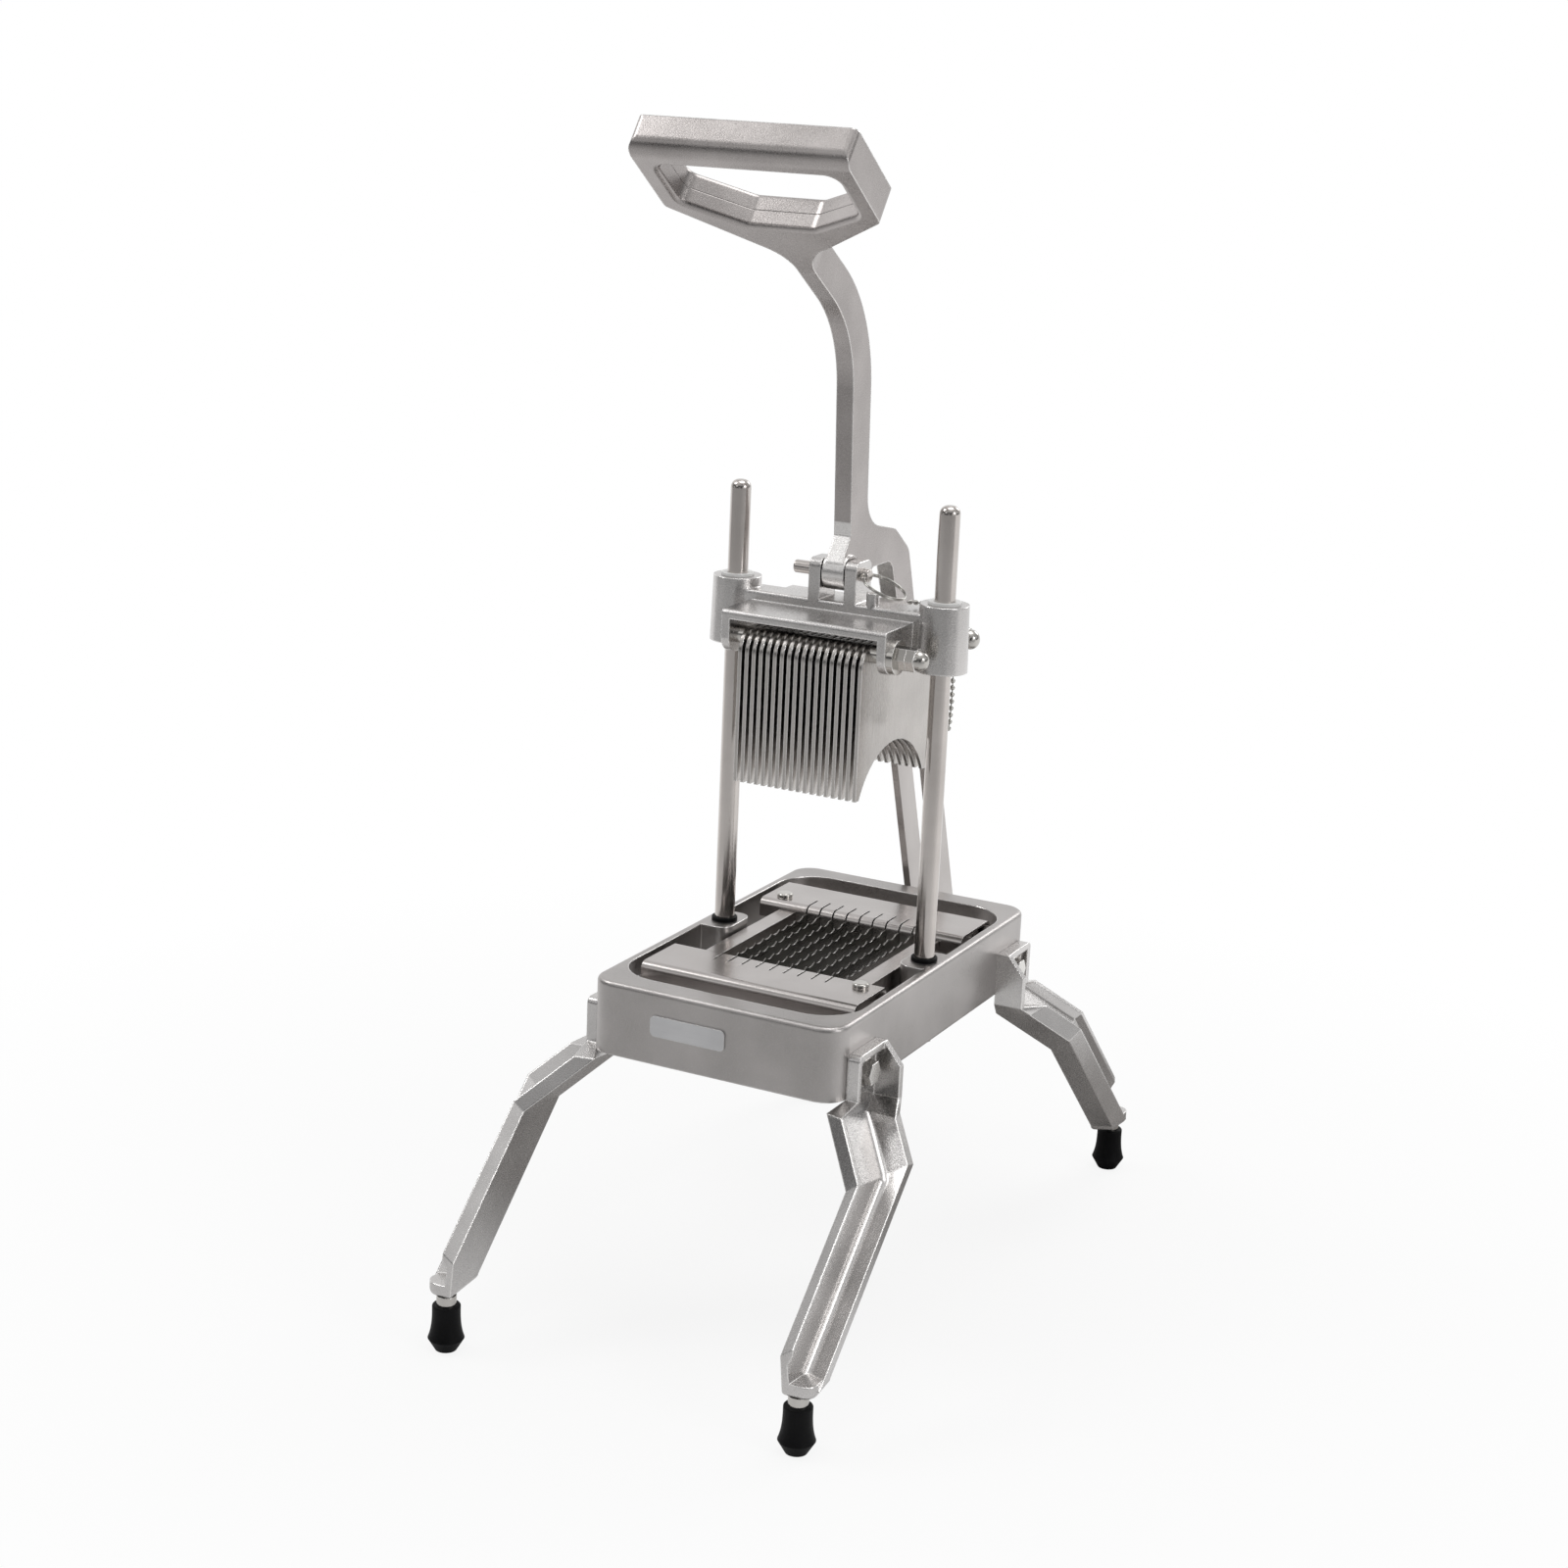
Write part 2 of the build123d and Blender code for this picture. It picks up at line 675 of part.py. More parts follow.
outer_plate_face = plate_x[-1] + plate_thickness / 2
skirt_inner = roof_half_width - skirt_thickness
with BuildPart() as axle_spacers:
    spans = [(x + plate_thickness / 2, x + plate_pitch - plate_thickness / 2) for x in plate_x[:-1]]
    spans += [(outer_plate_face, skirt_inner), (-skirt_inner, -outer_plate_face)]
    for start, end in spans:
        with BuildSketch(Plane.YZ.offset(start)):
            with Locations(*axle_places):
                Circle(spacer_diameter / 2)
                Circle(axle_diameter / 2 + running_clearance, mode=Mode.SUBTRACT)
        extrude(amount=end - start)
save(axle_spacers.part, "axle_spacers")

washer_outer = roof_half_width + axle_washer_thickness
nut_outer = washer_outer + axle_nut_thickness
acorn_outer = nut_outer + acorn_length
axle_end = acorn_outer - acorn_wall - axle_diameter / 2
# Each axle is a long bolt: a low head on the left skirt, washer and nuts on the right one
with BuildPart() as plate_axles:
    for diameter, length in (
        (axle_diameter, roof_half_width + axle_end),
        (axle_head_diameter, -axle_head_height),
    ):
        with BuildSketch(Plane.YZ.offset(-roof_half_width)):
            with Locations(*axle_places):
                Circle(diameter / 2)
        extrude(amount=length)
save(plate_axles.part, "plate_axles")

with BuildPart() as axle_washers:
    with BuildSketch(Plane.YZ.offset(roof_half_width)):
        with Locations(*axle_places):
            Circle(axle_washer_diameter / 2)
            Circle(axle_diameter / 2 + running_clearance, mode=Mode.SUBTRACT)
    extrude(amount=axle_washer_thickness)
save(axle_washers.part, "axle_washers")

with BuildPart() as axle_nuts:
    with BuildSketch(Plane.YZ.offset(washer_outer)):
        with Locations(*axle_places):
            hexagon(axle_nut_width)
            Circle(axle_diameter / 2 + thread_clearance, mode=Mode.SUBTRACT)
    extrude(amount=axle_nut_thickness)
save(axle_nuts.part, "axle_nuts")

dome_radius = axle_nut_width / 2 - seat_clearance
with BuildPart() as acorn_nut:
    with BuildSketch(Plane.YZ.offset(nut_outer)):
        hexagon(axle_nut_width)
    extrude(amount=acorn_hex_length)
    with BuildSketch(Plane.YZ.offset(nut_outer + acorn_hex_length)):
        Circle(dome_radius)
    extrude(amount=acorn_length - acorn_hex_length)
    fillet(acorn_nut.edges().sort_by(Axis.X)[-1], dome_radius - seat_clearance)
    with BuildSketch(Plane.YZ.offset(nut_outer)):
        Circle(axle_diameter / 2 + thread_clearance)
    extrude(amount=axle_end + thread_clearance - nut_outer, mode=Mode.SUBTRACT)
with BuildPart() as acorn_nuts:
    for y, z in axle_places:
        add(acorn_nut.part.moved(Location((0, y, z))))
save(acorn_nuts.part, "acorn_nuts")

# Handle: a bent lever with a pivot lug, a rear leg for the links and a closed grip loop
pivot_plane = Plane(origin=(0, rod_y, pivot_z), x_dir=(0, 1, 0), z_dir=(1, 0, 0))
tilt_sin = sin(radians(loop_tilt))
tilt_cos = cos(radians(loop_tilt))
loop_plane = Plane(
    origin=(0, rod_y + loop_y, pivot_z + loop_z),
    x_dir=(1, 0, 0),
    z_dir=(0, tilt_sin, tilt_cos),
)


loop_side_plane = Plane(origin=loop_plane.origin, x_dir=loop_plane.y_dir, z_dir=loop_plane.x_dir)


def on_loop(u, depth):
    # A point of the loop's middle plane, in (y, z) from the pivot
    return (loop_y + u * tilt_cos + depth * tilt_sin, loop_z - u * tilt_sin + depth * tilt_cos)


def both_sides(half):
    # A closed outline from its right half
    return Polyline(*half, *[(-x, u) for x, u in reversed(half)], close=True)


with BuildPart() as grip_loop:
    with BuildSketch(loop_plane) as loop_outline:
        with BuildLine():
            both_sides([
                (loop_half_width, 0),
                (loop_half_width, loop_side_length),
                (handle_thickness / 2, loop_neck_u),
                (handle_thickness / 2, stem_start),
            ])
        make_face()
        neck_corners = loop_outline.vertices().filter_by(lambda v: abs(v.Y - loop_neck_u) < 0.01)
        fillet(neck_corners, loop_neck_round)
        side_corners = loop_outline.vertices().filter_by(lambda v: abs(abs(v.X) - loop_half_width) < 0.01)
        fillet(side_corners, loop_corner)
    extrude(amount=loop_thickness)
    # The grip bar is well rounded where the fingers close below it
    with BuildSketch(loop_side_plane) as grip_section:
        with Locations((stem_start / 2, loop_thickness / 2)):
            Rectangle(stem_start, loop_thickness)
        lower_corner, upper_corner = grip_section.vertices().group_by(Axis.X)[0].sort_by(Axis.Y)
        fillet(lower_corner, grip_round)
        fillet(upper_corner, grip_top_round)
    extrude(amount=loop_half_width, both=True, mode=Mode.INTERSECT)
    with BuildSketch(loop_plane) as loop_window:
        with BuildLine():
            both_sides([
                (loop_half_width - loop_side_width, grip_width),
                (loop_half_width - loop_side_width, window_side_length),
                (window_bottom_half, window_bottom_u),
            ])
        make_face()
        fillet(loop_window.vertices(), loop_window_corner)
    extrude(amount=loop_thickness, mode=Mode.SUBTRACT)
    rims = grip_loop.faces().filter_by(loop_plane).filter_by(lambda face: len(face.inner_wires()) > 0)
    fillet([edge for rim in rims for edge in rim.inner_wires()[0].edges()], loop_inner_round)

with BuildPart() as handle:
    with BuildSketch(pivot_plane) as lever_outline:
        with BuildLine():
            lever_points = [
                (0, -lug_radius),
                notch_front,
                notch_top_front,
                notch_top_rear,
                rear_leg_front,
                rear_leg_back,
                hump_back,
                hump_top,
                hump_neck,
                lever_back_bend,
                on_loop(stem_start - wall_bite, loop_thickness),
                on_loop(stem_start - wall_bite, 0),
                lever_front_bend,
                lever_front_foot,
                lever_toe,
            ]
            Polyline(*lever_points, close=True)
        make_face()
        rounds = {
            notch_top_front: notch_round,
            notch_top_rear: notch_rear_round,
            hump_back: hump_corner_round,
            hump_top: hump_top_round,
            hump_neck: hump_neck_round,
            lever_back_bend: lever_back_round,
            lever_front_bend: lever_front_round,
        }
        for corner, radius in rounds.items():
            fillet(lever_outline.vertices().sort_by_distance(Vector(*corner))[0], radius)
        Circle(lug_radius)
        with Locations((link_pivot_y, link_pivot_z)):
            Circle(lug_radius)
    extrude(amount=handle_thickness / 2, both=True)
    with BuildSketch(pivot_plane):
        with Locations((0, 0), (link_pivot_y, link_pivot_z)):
            Circle(lug_radius)
    extrude(amount=lug_half_width, both=True)
    add(grip_loop.part)
    with BuildSketch(pivot_plane):
        Circle(pin_diameter / 2 + running_clearance)
        with Locations((link_pivot_y, link_pivot_z)):
            Circle(link_bolt_diameter / 2 + running_clearance)
    extrude(amount=lug_half_width, both=True, mode=Mode.SUBTRACT)
save(handle.part, "handle")

# Release pin through the clevis, with a split ring in its end
with BuildPart() as release_pin:
    with BuildSketch(Plane.YZ.offset(pin_left)):
        with Locations((rod_y, pivot_z)):
            Circle(pin_diameter / 2)
    extrude(amount=pin_right - pin_left)
    fillet(release_pin.edges().filter_by(GeomType.CIRCLE), pin_end_round)
    with BuildSketch(Plane.XZ.offset(-rod_y)):
        with Locations((ring_hole_x, pivot_z)):
            Circle(ring_hole_diameter / 2)
    extrude(amount=pin_diameter, both=True, mode=Mode.SUBTRACT)
save(release_pin.part, "release_pin")

ring_radius = ring_diameter / 2
ring_middle = Vector(
    ring_hole_x + ring_radius * cos(radians(ring_dip)),
    rod_y,
    pivot_z - ring_radius * sin(radians(ring_dip)),
)
ring_out = (ring_middle - Vector(ring_hole_x, rod_y, pivot_z)).normalized()
ring_normal = ring_out.cross(Vector(0, 1, 0)).normalized()
with BuildPart() as pin_ring:
    with Locations(Plane(origin=ring_middle, x_dir=ring_out, z_dir=ring_normal)):
        Torus(ring_radius, ring_wire / 2)
save(pin_ring.part, "pin_ring")

# Tether chain from the ring, behind the right boss, back up to a screw in the skirt
chain_top = ring_middle + ring_out * (ring_radius + ring_wire / 2 + chain_diameter / 2 + chain_link_hole)
chain_points = [
    (chain_top.X, chain_top.Y, chain_top.Z),
    (57.5, 24.0, 431.5),
    (67.0, 28.5, 416.0),
    (68.5, 28.8, 384.0),
    (68.0, 28.5, 356.0),
    (66.5, 28.3, 350.5),
    (62.5, 28.0, 350.0),
    (61.0, 27.8, 356.0),
    (60.8, 26.5, 382.0),
    (anchor_chain_x, anchor_y, anchor_z - anchor_diameter / 2 - chain_diameter / 2 - chain_link_hole),
]


def turn_radii(points):
    # A tangent arc at each inner point: 0.45 of the shorter run over the tangent of half the turn
    radii = []
    for before, here, after in zip(points, points[1:], points[2:]):
        run_in = Vector(*here) - Vector(*before)
        run_out = Vector(*after) - Vector(*here)
        half_turn = radians(run_in.get_angle(run_out)) / 2
        radii.append(0.45 * min(run_in.length, run_out.length) / tan(half_turn))
    return radii


chain_radii = turn_radii(chain_points)
print("tether chain bend radii", [round(radius, 2) for radius in chain_radii])
with BuildPart() as tether_chain:
    with BuildLine() as chain_route:
        FilletPolyline(*chain_points, radius=chain_radii)
    with BuildSketch(Plane(origin=chain_route.line @ 0, z_dir=chain_route.line % 0)):
        Circle(chain_diameter / 2)
    sweep()
save(tether_chain.part, "tether_chain")

with BuildPart() as tether_screw:
    with BuildSketch(Plane.YZ.offset(roof_half_width - skirt_thickness)):
        with Locations((anchor_y, anchor_z)):
            Circle(anchor_diameter / 2)
    extrude(amount=anchor_length + skirt_thickness)
    with BuildSketch(Plane.YZ.offset(roof_half_width + anchor_length - anchor_head_length)):
        with Locations((anchor_y, anchor_z)):
            Circle(anchor_head_diameter / 2)
    extrude(amount=anchor_head_length)
save(tether_screw.part, "tether_screw")

# Links: two flat bars from the base lug up to the handle's rear leg
link_top_y = rod_y + link_pivot_y
link_top_z = pivot_z + link_pivot_z
link_length = hypot(link_foot_y - link_top_y, link_top_z - link_foot_z)
link_plane = Plane(
    origin=(link_inner, link_foot_y, link_foot_z),
    x_dir=(0, link_top_z - link_foot_z, link_foot_y - link_top_y),
    z_dir=(1, 0, 0),
)
with BuildPart() as link_right:
    with BuildSketch(link_plane):
        with Locations((0, link_length / 2)):
            SlotCenterToCenter(link_length, link_width, rotation=90)
        with Locations((0, 0), (0, link_length)):
            Circle(link_bolt_diameter / 2 + running_clearance, mode=Mode.SUBTRACT)
    extrude(amount=link_thickness)
save(link_right.part, "link_right")
save(mirrored(link_right.part, Plane.YZ), "link_left")

link_outer = link_inner + link_thickness
with BuildPart() as link_foot_bolt:
    with BuildSketch(Plane.YZ.offset(link_outer)):
        with Locations((link_foot_y, link_foot_z)):
            Circle(link_head_diameter / 2)
    extrude(amount=link_head_height)
    with BuildSketch(Plane.YZ.offset(link_outer)):
        with Locations((link_foot_y, link_foot_z)):
            Circle(link_bolt_diameter / 2)
    extrude(amount=-2 * link_outer - link_nut_thickness - tail_beyond_nut)
save(link_foot_bolt.part, "link_foot_bolt")

with BuildPart() as link_foot_nut:
    with BuildSketch(Plane.YZ.offset(-link_outer)):
        with Locations((link_foot_y, link_foot_z)):
            hexagon(link_nut_width)
            Circle(link_bolt_diameter / 2 + thread_clearance, mode=Mode.SUBTRACT)
    extrude(amount=-link_nut_thickness)
save(link_foot_nut.part, "link_foot_nut")

# Shoulder screws of the upper pivot, one in each link, ending flush with its inner face
with BuildPart() as link_top_screws:
    for side in (-1, 1):
        with BuildSketch(Plane.YZ.offset(side * link_inner)):
            with Locations((link_top_y, link_top_z)):
                Circle(link_bolt_diameter / 2)
        extrude(amount=side * link_thickness)
        with BuildSketch(Plane.YZ.offset(side * link_outer)):
            with Locations((link_top_y, link_top_z)):
                Circle(link_head_diameter / 2)
        extrude(amount=side * link_head_height)
save(link_top_screws.part, "link_top_screws")

# Legs: the front right one, and its mirror images
base_corner_point = Vector(base_side, -base_end, base_bottom)
knee_rear = base_corner_point + Vector(*knee_rear_offset)
knee_front = base_corner_point + Vector(*knee_front_offset)
knee_rim = base_corner_point + Vector(*knee_rim_offset)
lower_leg_length = (leg_bottom - knee_rim.Z) / lower_leg_axis.Z + upper_leg_length
landing = knee_rear + lower_leg_axis * ((leg_bottom - knee_rear.Z) / lower_leg_axis.Z)
foot_x = landing.X + foot_outset
foot_y = foot_ahead - landing.Y
print("foot place", round(foot_x, 3), round(foot_y, 3))
knee_plane = Plane(
    origin=knee_rear,
    x_dir=knee_front - knee_rear,
    z_dir=(knee_front - knee_rear).cross(knee_rim - knee_rear),
)
pocket_front = pad_front - pad_front_wall
pocket_rear = pad_rear + pad_wall
hip_slope = tan(radians(hip_tilt))
pad_end = Plane(origin=(base_side, -pad_front, base_bottom), x_dir=(1, 0, 0), z_dir=(0, hip_slope, 1))
hip_plane = pad_end.offset(-hip_drop)
toe_plane = Plane.XY.offset(leg_bottom)
toe_cut = toe_plane.offset(toe_bottom_round)
toe_front = -foot_y - toe_reach


def channel_point(index, axis, plane):
    # Where a line of the channel that leaves the knee along an axis meets a plane
    at_knee = knee_plane.from_local_coords(Vector(*leg_section[index]))
    return at_knee + axis * ((plane.origin - at_knee).dot(plane.z_dir) / axis.dot(plane.z_dir))


def flat_points(plane, points):
    local = [plane.to_local_coords(point) for point in points]
    return [(point.X, point.Y) for point in local]


hip_section = [channel_point(index, upper_leg_axis, hip_plane) for index in range(len(leg_section))]
pad_section = [
    Vector(x, -y, base_bottom - (pad_front - y) * hip_slope)
    for x, y in (
        (base_side, pad_rear),
        (base_side + pad_flange_depth, pad_rear),
        (base_side + pad_flange_depth, pocket_rear),
        (base_side + pad_web, pocket_rear),
        (base_side + pad_web, pocket_front),
        (base_side + pad_depth, pocket_front),
        (base_side + pad_depth, pad_front),
        (base_side, pad_front),
    )
]
toe_inner, toe_outer, toe_rim = (channel_point(index, lower_leg_axis, toe_cut) for index in range(3))
channel_front = channel_point(len(leg_section) - 1, lower_leg_axis, toe_cut)
front_share = (toe_front - toe_inner.Y) / (channel_front.Y - toe_inner.Y)
toe_inner_front = toe_inner + (channel_front - toe_inner) * front_share
# The toe closes the channel, and is rounded at its outer front corner and below
with BuildPart() as toe:
    with BuildSketch(toe_plane) as toe_outline:
        with BuildLine():
            Polyline(
                (toe_inner_front.X, toe_front),
                (toe_rim.X, toe_front),
                (toe_outer.X, toe_outer.Y),
                (toe_inner.X, toe_inner.Y),
                close=True,
            )
        make_face()
        fillet(toe_outline.vertices().sort_by(Axis.X)[-1], toe_corner)
    extrude(amount=toe_height)
    fillet(toe.edges().group_by(Axis.Z)[0], toe_bottom_round)
with BuildPart() as leg_front_right:
    with BuildSketch(knee_plane) as knee_section:
        with BuildLine():
            Polyline(*leg_section, close=True)
        make_face()
    extrude(amount=lower_leg_length, dir=lower_leg_axis)
    extrude(knee_section.sketch, amount=upper_leg_length, dir=-upper_leg_axis)
    split(bisect_by=toe_cut, keep=Keep.TOP)
    split(bisect_by=Plane.XZ.offset(-toe_front), keep=Keep.BOTTOM)
    split(bisect_by=hip_plane, keep=Keep.BOTTOM)
    # The rear valley of the channel is rounded, above and below the knee
    valley_knee = knee_plane.from_local_coords(Vector(*leg_section[3]))
    valley_ends = [channel_point(3, upper_leg_axis, hip_plane), channel_point(3, lower_leg_axis, toe_cut)]
    valley = [
        edge
        for edge in leg_front_right.edges()
        for end in valley_ends
        if (edge @ 0.5 - (valley_knee + end) / 2).length < valley_round
    ]
    fillet(valley, valley_round)
    # Hip, from the channel to the section of the pad
    with BuildSketch(hip_plane):
        with BuildLine():
            Polyline(*flat_points(hip_plane, hip_section), close=True)
        make_face()
    with BuildSketch(pad_end):
        with BuildLine():
            Polyline(*flat_points(pad_end, pad_section), close=True)
        make_face()
    loft(ruled=True)
    # Pad on the side of the base, with a pocket for the bolt that opens into the channel
    with BuildSketch(pad_end):
        with BuildLine():
            Polyline(*flat_points(pad_end, pad_section), close=True)
        make_face()
    extrude(amount=pad_length + pad_rise, dir=(0, 0, 1))
    split(bisect_by=Plane.XY.offset(pad_top), keep=Keep.BOTTOM)
    with BuildSketch(Plane.XZ.offset(pad_rear)):
        with BuildLine():
            Polyline(
                (base_side + pad_depth, pad_top),
                (base_side + pad_flange_depth, pad_top),
                (base_side + pad_flange_depth, pad_flange_shoulder),
                close=True,
            )
        make_face()
    extrude(amount=pad_wall, mode=Mode.SUBTRACT)
    with BuildSketch(Plane.XY.offset(pad_top)):
        with Locations((base_side + pad_depth / 2, -(pad_front + pad_rear) / 2)):
            Rectangle(pad_depth, pad_length)
    extrude(amount=-pad_wall)
    fillet(leg_front_right.edges().filter_by(Axis.X).group_by(Axis.Z)[-1].sort_by(Axis.Y)[0], pad_corner)
    with BuildSketch(Plane.YZ.offset(base_side)):
        with Locations((-leg_bolt_y, leg_bolt_z)):
            Circle(leg_bolt_diameter / 2 + thread_clearance)
    extrude(amount=pad_depth, mode=Mode.SUBTRACT)
    # Toe, with the hole for the foot's stud
    add(toe.part)
    with BuildSketch(toe_plane):
        with Locations((foot_x, -foot_y)):
            Circle(stud_diameter / 2 + thread_clearance)
    extrude(amount=stud_depth_in_leg + thread_clearance, mode=Mode.SUBTRACT)
leg_front_left = mirrored(leg_front_right.part, Plane.YZ)
save(leg_front_right.part, "leg_front_right")
save(leg_front_left, "leg_front_left")
save(mirrored(leg_front_right.part, Plane.XZ), "leg_rear_right")
save(mirrored(leg_front_left, Plane.XZ), "leg_rear_left")

# Leg fasteners: bolts with washers, threaded into the base
bolt_places = [(-leg_bolt_y, leg_bolt_z), (leg_bolt_y, leg_bolt_z)]
washer_face = base_side + pad_web
head_face = washer_face + leg_washer_thickness
with BuildPart() as leg_bolts:
    for side in (-1, 1):
        with BuildSketch(Plane.YZ.offset(side * head_face)):
            with Locations(*bolt_places):
                hexagon(leg_bolt_head_width)
        extrude(amount=side * leg_bolt_head_height)
        with BuildSketch(Plane.YZ.offset(side * head_face)):
            with Locations(*bolt_places):
                Circle(leg_bolt_diameter / 2)
        extrude(amount=-side * (head_face - base_side + leg_bolt_grip))
save(leg_bolts.part, "leg_bolts")

with BuildPart() as leg_washers:
    for side in (-1, 1):
        with BuildSketch(Plane.YZ.offset(side * washer_face)):
            with Locations(*bolt_places):
                Circle(leg_washer_diameter / 2)
                Circle(leg_bolt_diameter / 2 + thread_clearance, mode=Mode.SUBTRACT)
        extrude(amount=side * leg_washer_thickness)
save(leg_washers.part, "leg_washers")

# Feet: rubber tips on short studs
with BuildPart() as rubber_tip:
    with BuildSketch(Plane.XZ):
        with BuildLine():
            Polyline((0, 0), (tip_bottom_radius, 0), (tip_max_radius, tip_max_height))
            Spline(
                (tip_max_radius, tip_max_height),
                (tip_flare_radius, tip_flare_height),
                (tip_waist_radius, tip_waist_height),
                (tip_top_radius, tip_height),
            )
            Polyline((tip_top_radius, tip_height), (0, tip_height), (0, 0))
        make_face()
    revolve(axis=Axis.Z)
    fillet(rubber_tip.edges().sort_by(Axis.Z)[-1], tip_top_round)
    with BuildSketch(Plane.XY.offset(tip_height)):
        Circle(stud_diameter / 2 + thread_clearance)
    extrude(amount=-stud_depth_in_tip - thread_clearance, mode=Mode.SUBTRACT)
with BuildPart() as foot_stud:
    with BuildSketch(Plane.XY.offset(tip_height)):
        Circle(stud_collar_diameter / 2)
    extrude(amount=leg_bottom - tip_height)
    with BuildSketch(Plane.XY.offset(tip_height - stud_depth_in_tip)):
        Circle(stud_diameter / 2)
    extrude(amount=stud_depth_in_tip + leg_bottom - tip_height + stud_depth_in_leg)
foot_places = {
    "front_right": (foot_x, -foot_y),
    "front_left": (-foot_x, -foot_y),
    "rear_right": (foot_x, foot_y),
    "rear_left": (-foot_x, foot_y),
}
for corner, (x, y) in foot_places.items():
    save(rubber_tip.part.moved(Location((x, y, 0))), f"foot_{corner}")
with BuildPart() as foot_studs:
    for x, y in foot_places.values():
        add(foot_stud.part.moved(Location((x, y, 0))))
save(foot_studs.part, "foot_studs")
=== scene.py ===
import json
import math

import bmesh
import bpy
from mathutils import Matrix, Vector


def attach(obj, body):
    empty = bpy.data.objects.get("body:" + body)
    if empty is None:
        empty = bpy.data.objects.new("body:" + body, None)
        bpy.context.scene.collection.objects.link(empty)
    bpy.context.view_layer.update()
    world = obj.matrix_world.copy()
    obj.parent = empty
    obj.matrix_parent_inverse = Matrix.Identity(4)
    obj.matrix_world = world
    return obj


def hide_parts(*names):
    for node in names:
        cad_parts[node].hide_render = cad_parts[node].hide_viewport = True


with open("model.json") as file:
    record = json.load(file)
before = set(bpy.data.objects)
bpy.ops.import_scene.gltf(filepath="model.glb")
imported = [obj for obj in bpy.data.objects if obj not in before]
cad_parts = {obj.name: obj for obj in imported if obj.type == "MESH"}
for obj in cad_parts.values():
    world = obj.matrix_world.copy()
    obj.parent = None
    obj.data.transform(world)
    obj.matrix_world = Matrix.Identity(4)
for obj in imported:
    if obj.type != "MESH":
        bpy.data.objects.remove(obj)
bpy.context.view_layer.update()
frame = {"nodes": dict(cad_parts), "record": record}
nodes = frame["nodes"]
slot_of = {entry["node"]: entry["material_slot"] for entry in frame["record"]["subparts"]}
scene = bpy.context.scene

MM = 0.001
WHITE = (1.0, 1.0, 1.0)
OPAQUE = 1.0


# Node helpers

# Sockets of a mix node that holds colours
COLOUR_A = 6
COLOUR_B = 7
COLOUR_RESULT = 2


def start_material(name):
    material = bpy.data.materials.new(name)
    material.use_nodes = True
    tree = material.node_tree
    return material, tree, tree.nodes["Principled BSDF"]


def add_node(tree, kind, **settings):
    node = tree.nodes.new(kind)
    for key, value in settings.items():
        setattr(node, key, value)
    return node


def feed(tree, socket, value):
    # Links another node's output to the socket, or gives it a plain value
    if isinstance(value, bpy.types.NodeSocket):
        tree.links.new(value, socket)
    else:
        socket.default_value = value


def combine(tree, operation, first, second=0.0):
    node = add_node(tree, "ShaderNodeMath", operation=operation)
    feed(tree, node.inputs[0], first)
    feed(tree, node.inputs[1], second)
    return node.outputs["Value"]


def measure(tree, operation, first, second):
    # A number from two vectors: their dot product or their distance
    node = add_node(tree, "ShaderNodeVectorMath", operation=operation)
    feed(tree, node.inputs[0], first)
    feed(tree, node.inputs[1], second)
    return node.outputs["Value"]


def axis_of(tree, vector, axis):
    node = add_node(tree, "ShaderNodeSeparateXYZ")
    tree.links.new(vector, node.inputs["Vector"])
    return node.outputs[axis]


def remap(tree, value, span, result=(0.0, 1.0)):
    # As the value goes from one end of the span to the other, so does the result, and it stops there
    node = add_node(tree, "ShaderNodeMapRange")
    for name, number in zip(("From Min", "From Max", "To Min", "To Max"), (*span, *result)):
        node.inputs[name].default_value = number
    tree.links.new(value, node.inputs["Value"])
    return node.outputs["Result"]


def mix_colour(tree, factor, first, second):
    node = add_node(tree, "ShaderNodeMix", data_type="RGBA")
    tree.links.new(factor, node.inputs["Factor"])
    for socket, value in ((node.inputs[COLOUR_A], first), (node.inputs[COLOUR_B], second)):
        feed(tree, socket, (*value, OPAQUE) if isinstance(value, tuple) else value)
    return node.outputs[COLOUR_RESULT]


def mix_shader(tree, factor, first, second):
    node = add_node(tree, "ShaderNodeMixShader")
    for socket, value in zip(node.inputs, (factor, first, second)):
        tree.links.new(value, socket)
    return node.outputs["Shader"]


# Surface helpers

# Scale of a pattern on each axis: a small one draws it out into streaks along that axis
EVEN = (1.0, 1.0, 1.0)
ALONG_X = (0.04, 1.0, 1.0)
ALONG_Y = (1.0, 0.04, 1.0)
ALONG_Z = (1.0, 1.0, 0.04)
AROUND_Z = (0.05, 0.05, 1.0)

BEVEL_SAMPLES = 6
# Cosine between the softened and the true normal, on an open face and on a worn edge that also carries a
# painted highlight
EDGE_SPAN = (0.99, 0.86)


def noise(tree, scale_per_m, detail=3.0, stretch=EVEN, roughness=0.5):
    # Noise in the part's own frame
    place = add_node(tree, "ShaderNodeTexCoord")
    mapping = add_node(tree, "ShaderNodeMapping")
    mapping.inputs["Scale"].default_value = stretch
    texture = add_node(tree, "ShaderNodeTexNoise")
    texture.inputs["Scale"].default_value = scale_per_m
    texture.inputs["Detail"].default_value = detail
    texture.inputs["Roughness"].default_value = roughness
    tree.links.new(place.outputs["Object"], mapping.inputs["Vector"])
    tree.links.new(mapping.outputs["Vector"], texture.inputs["Vector"])
    return texture.outputs["Fac"]


def edge_mask(tree, radius):
    # 1 on edges, where the colour is lifted as a painted highlight and metal is also polished by handling,
    # 0 on open faces; also returns the softened normal
    bevel = add_node(tree, "ShaderNodeBevel", samples=BEVEL_SAMPLES)
    bevel.inputs["Radius"].default_value = radius
    geometry = add_node(tree, "ShaderNodeNewGeometry")
    likeness = measure(tree, "DOT_PRODUCT", bevel.outputs["Normal"], geometry.outputs["Normal"])
    return remap(tree, likeness, EDGE_SPAN), bevel.outputs["Normal"]


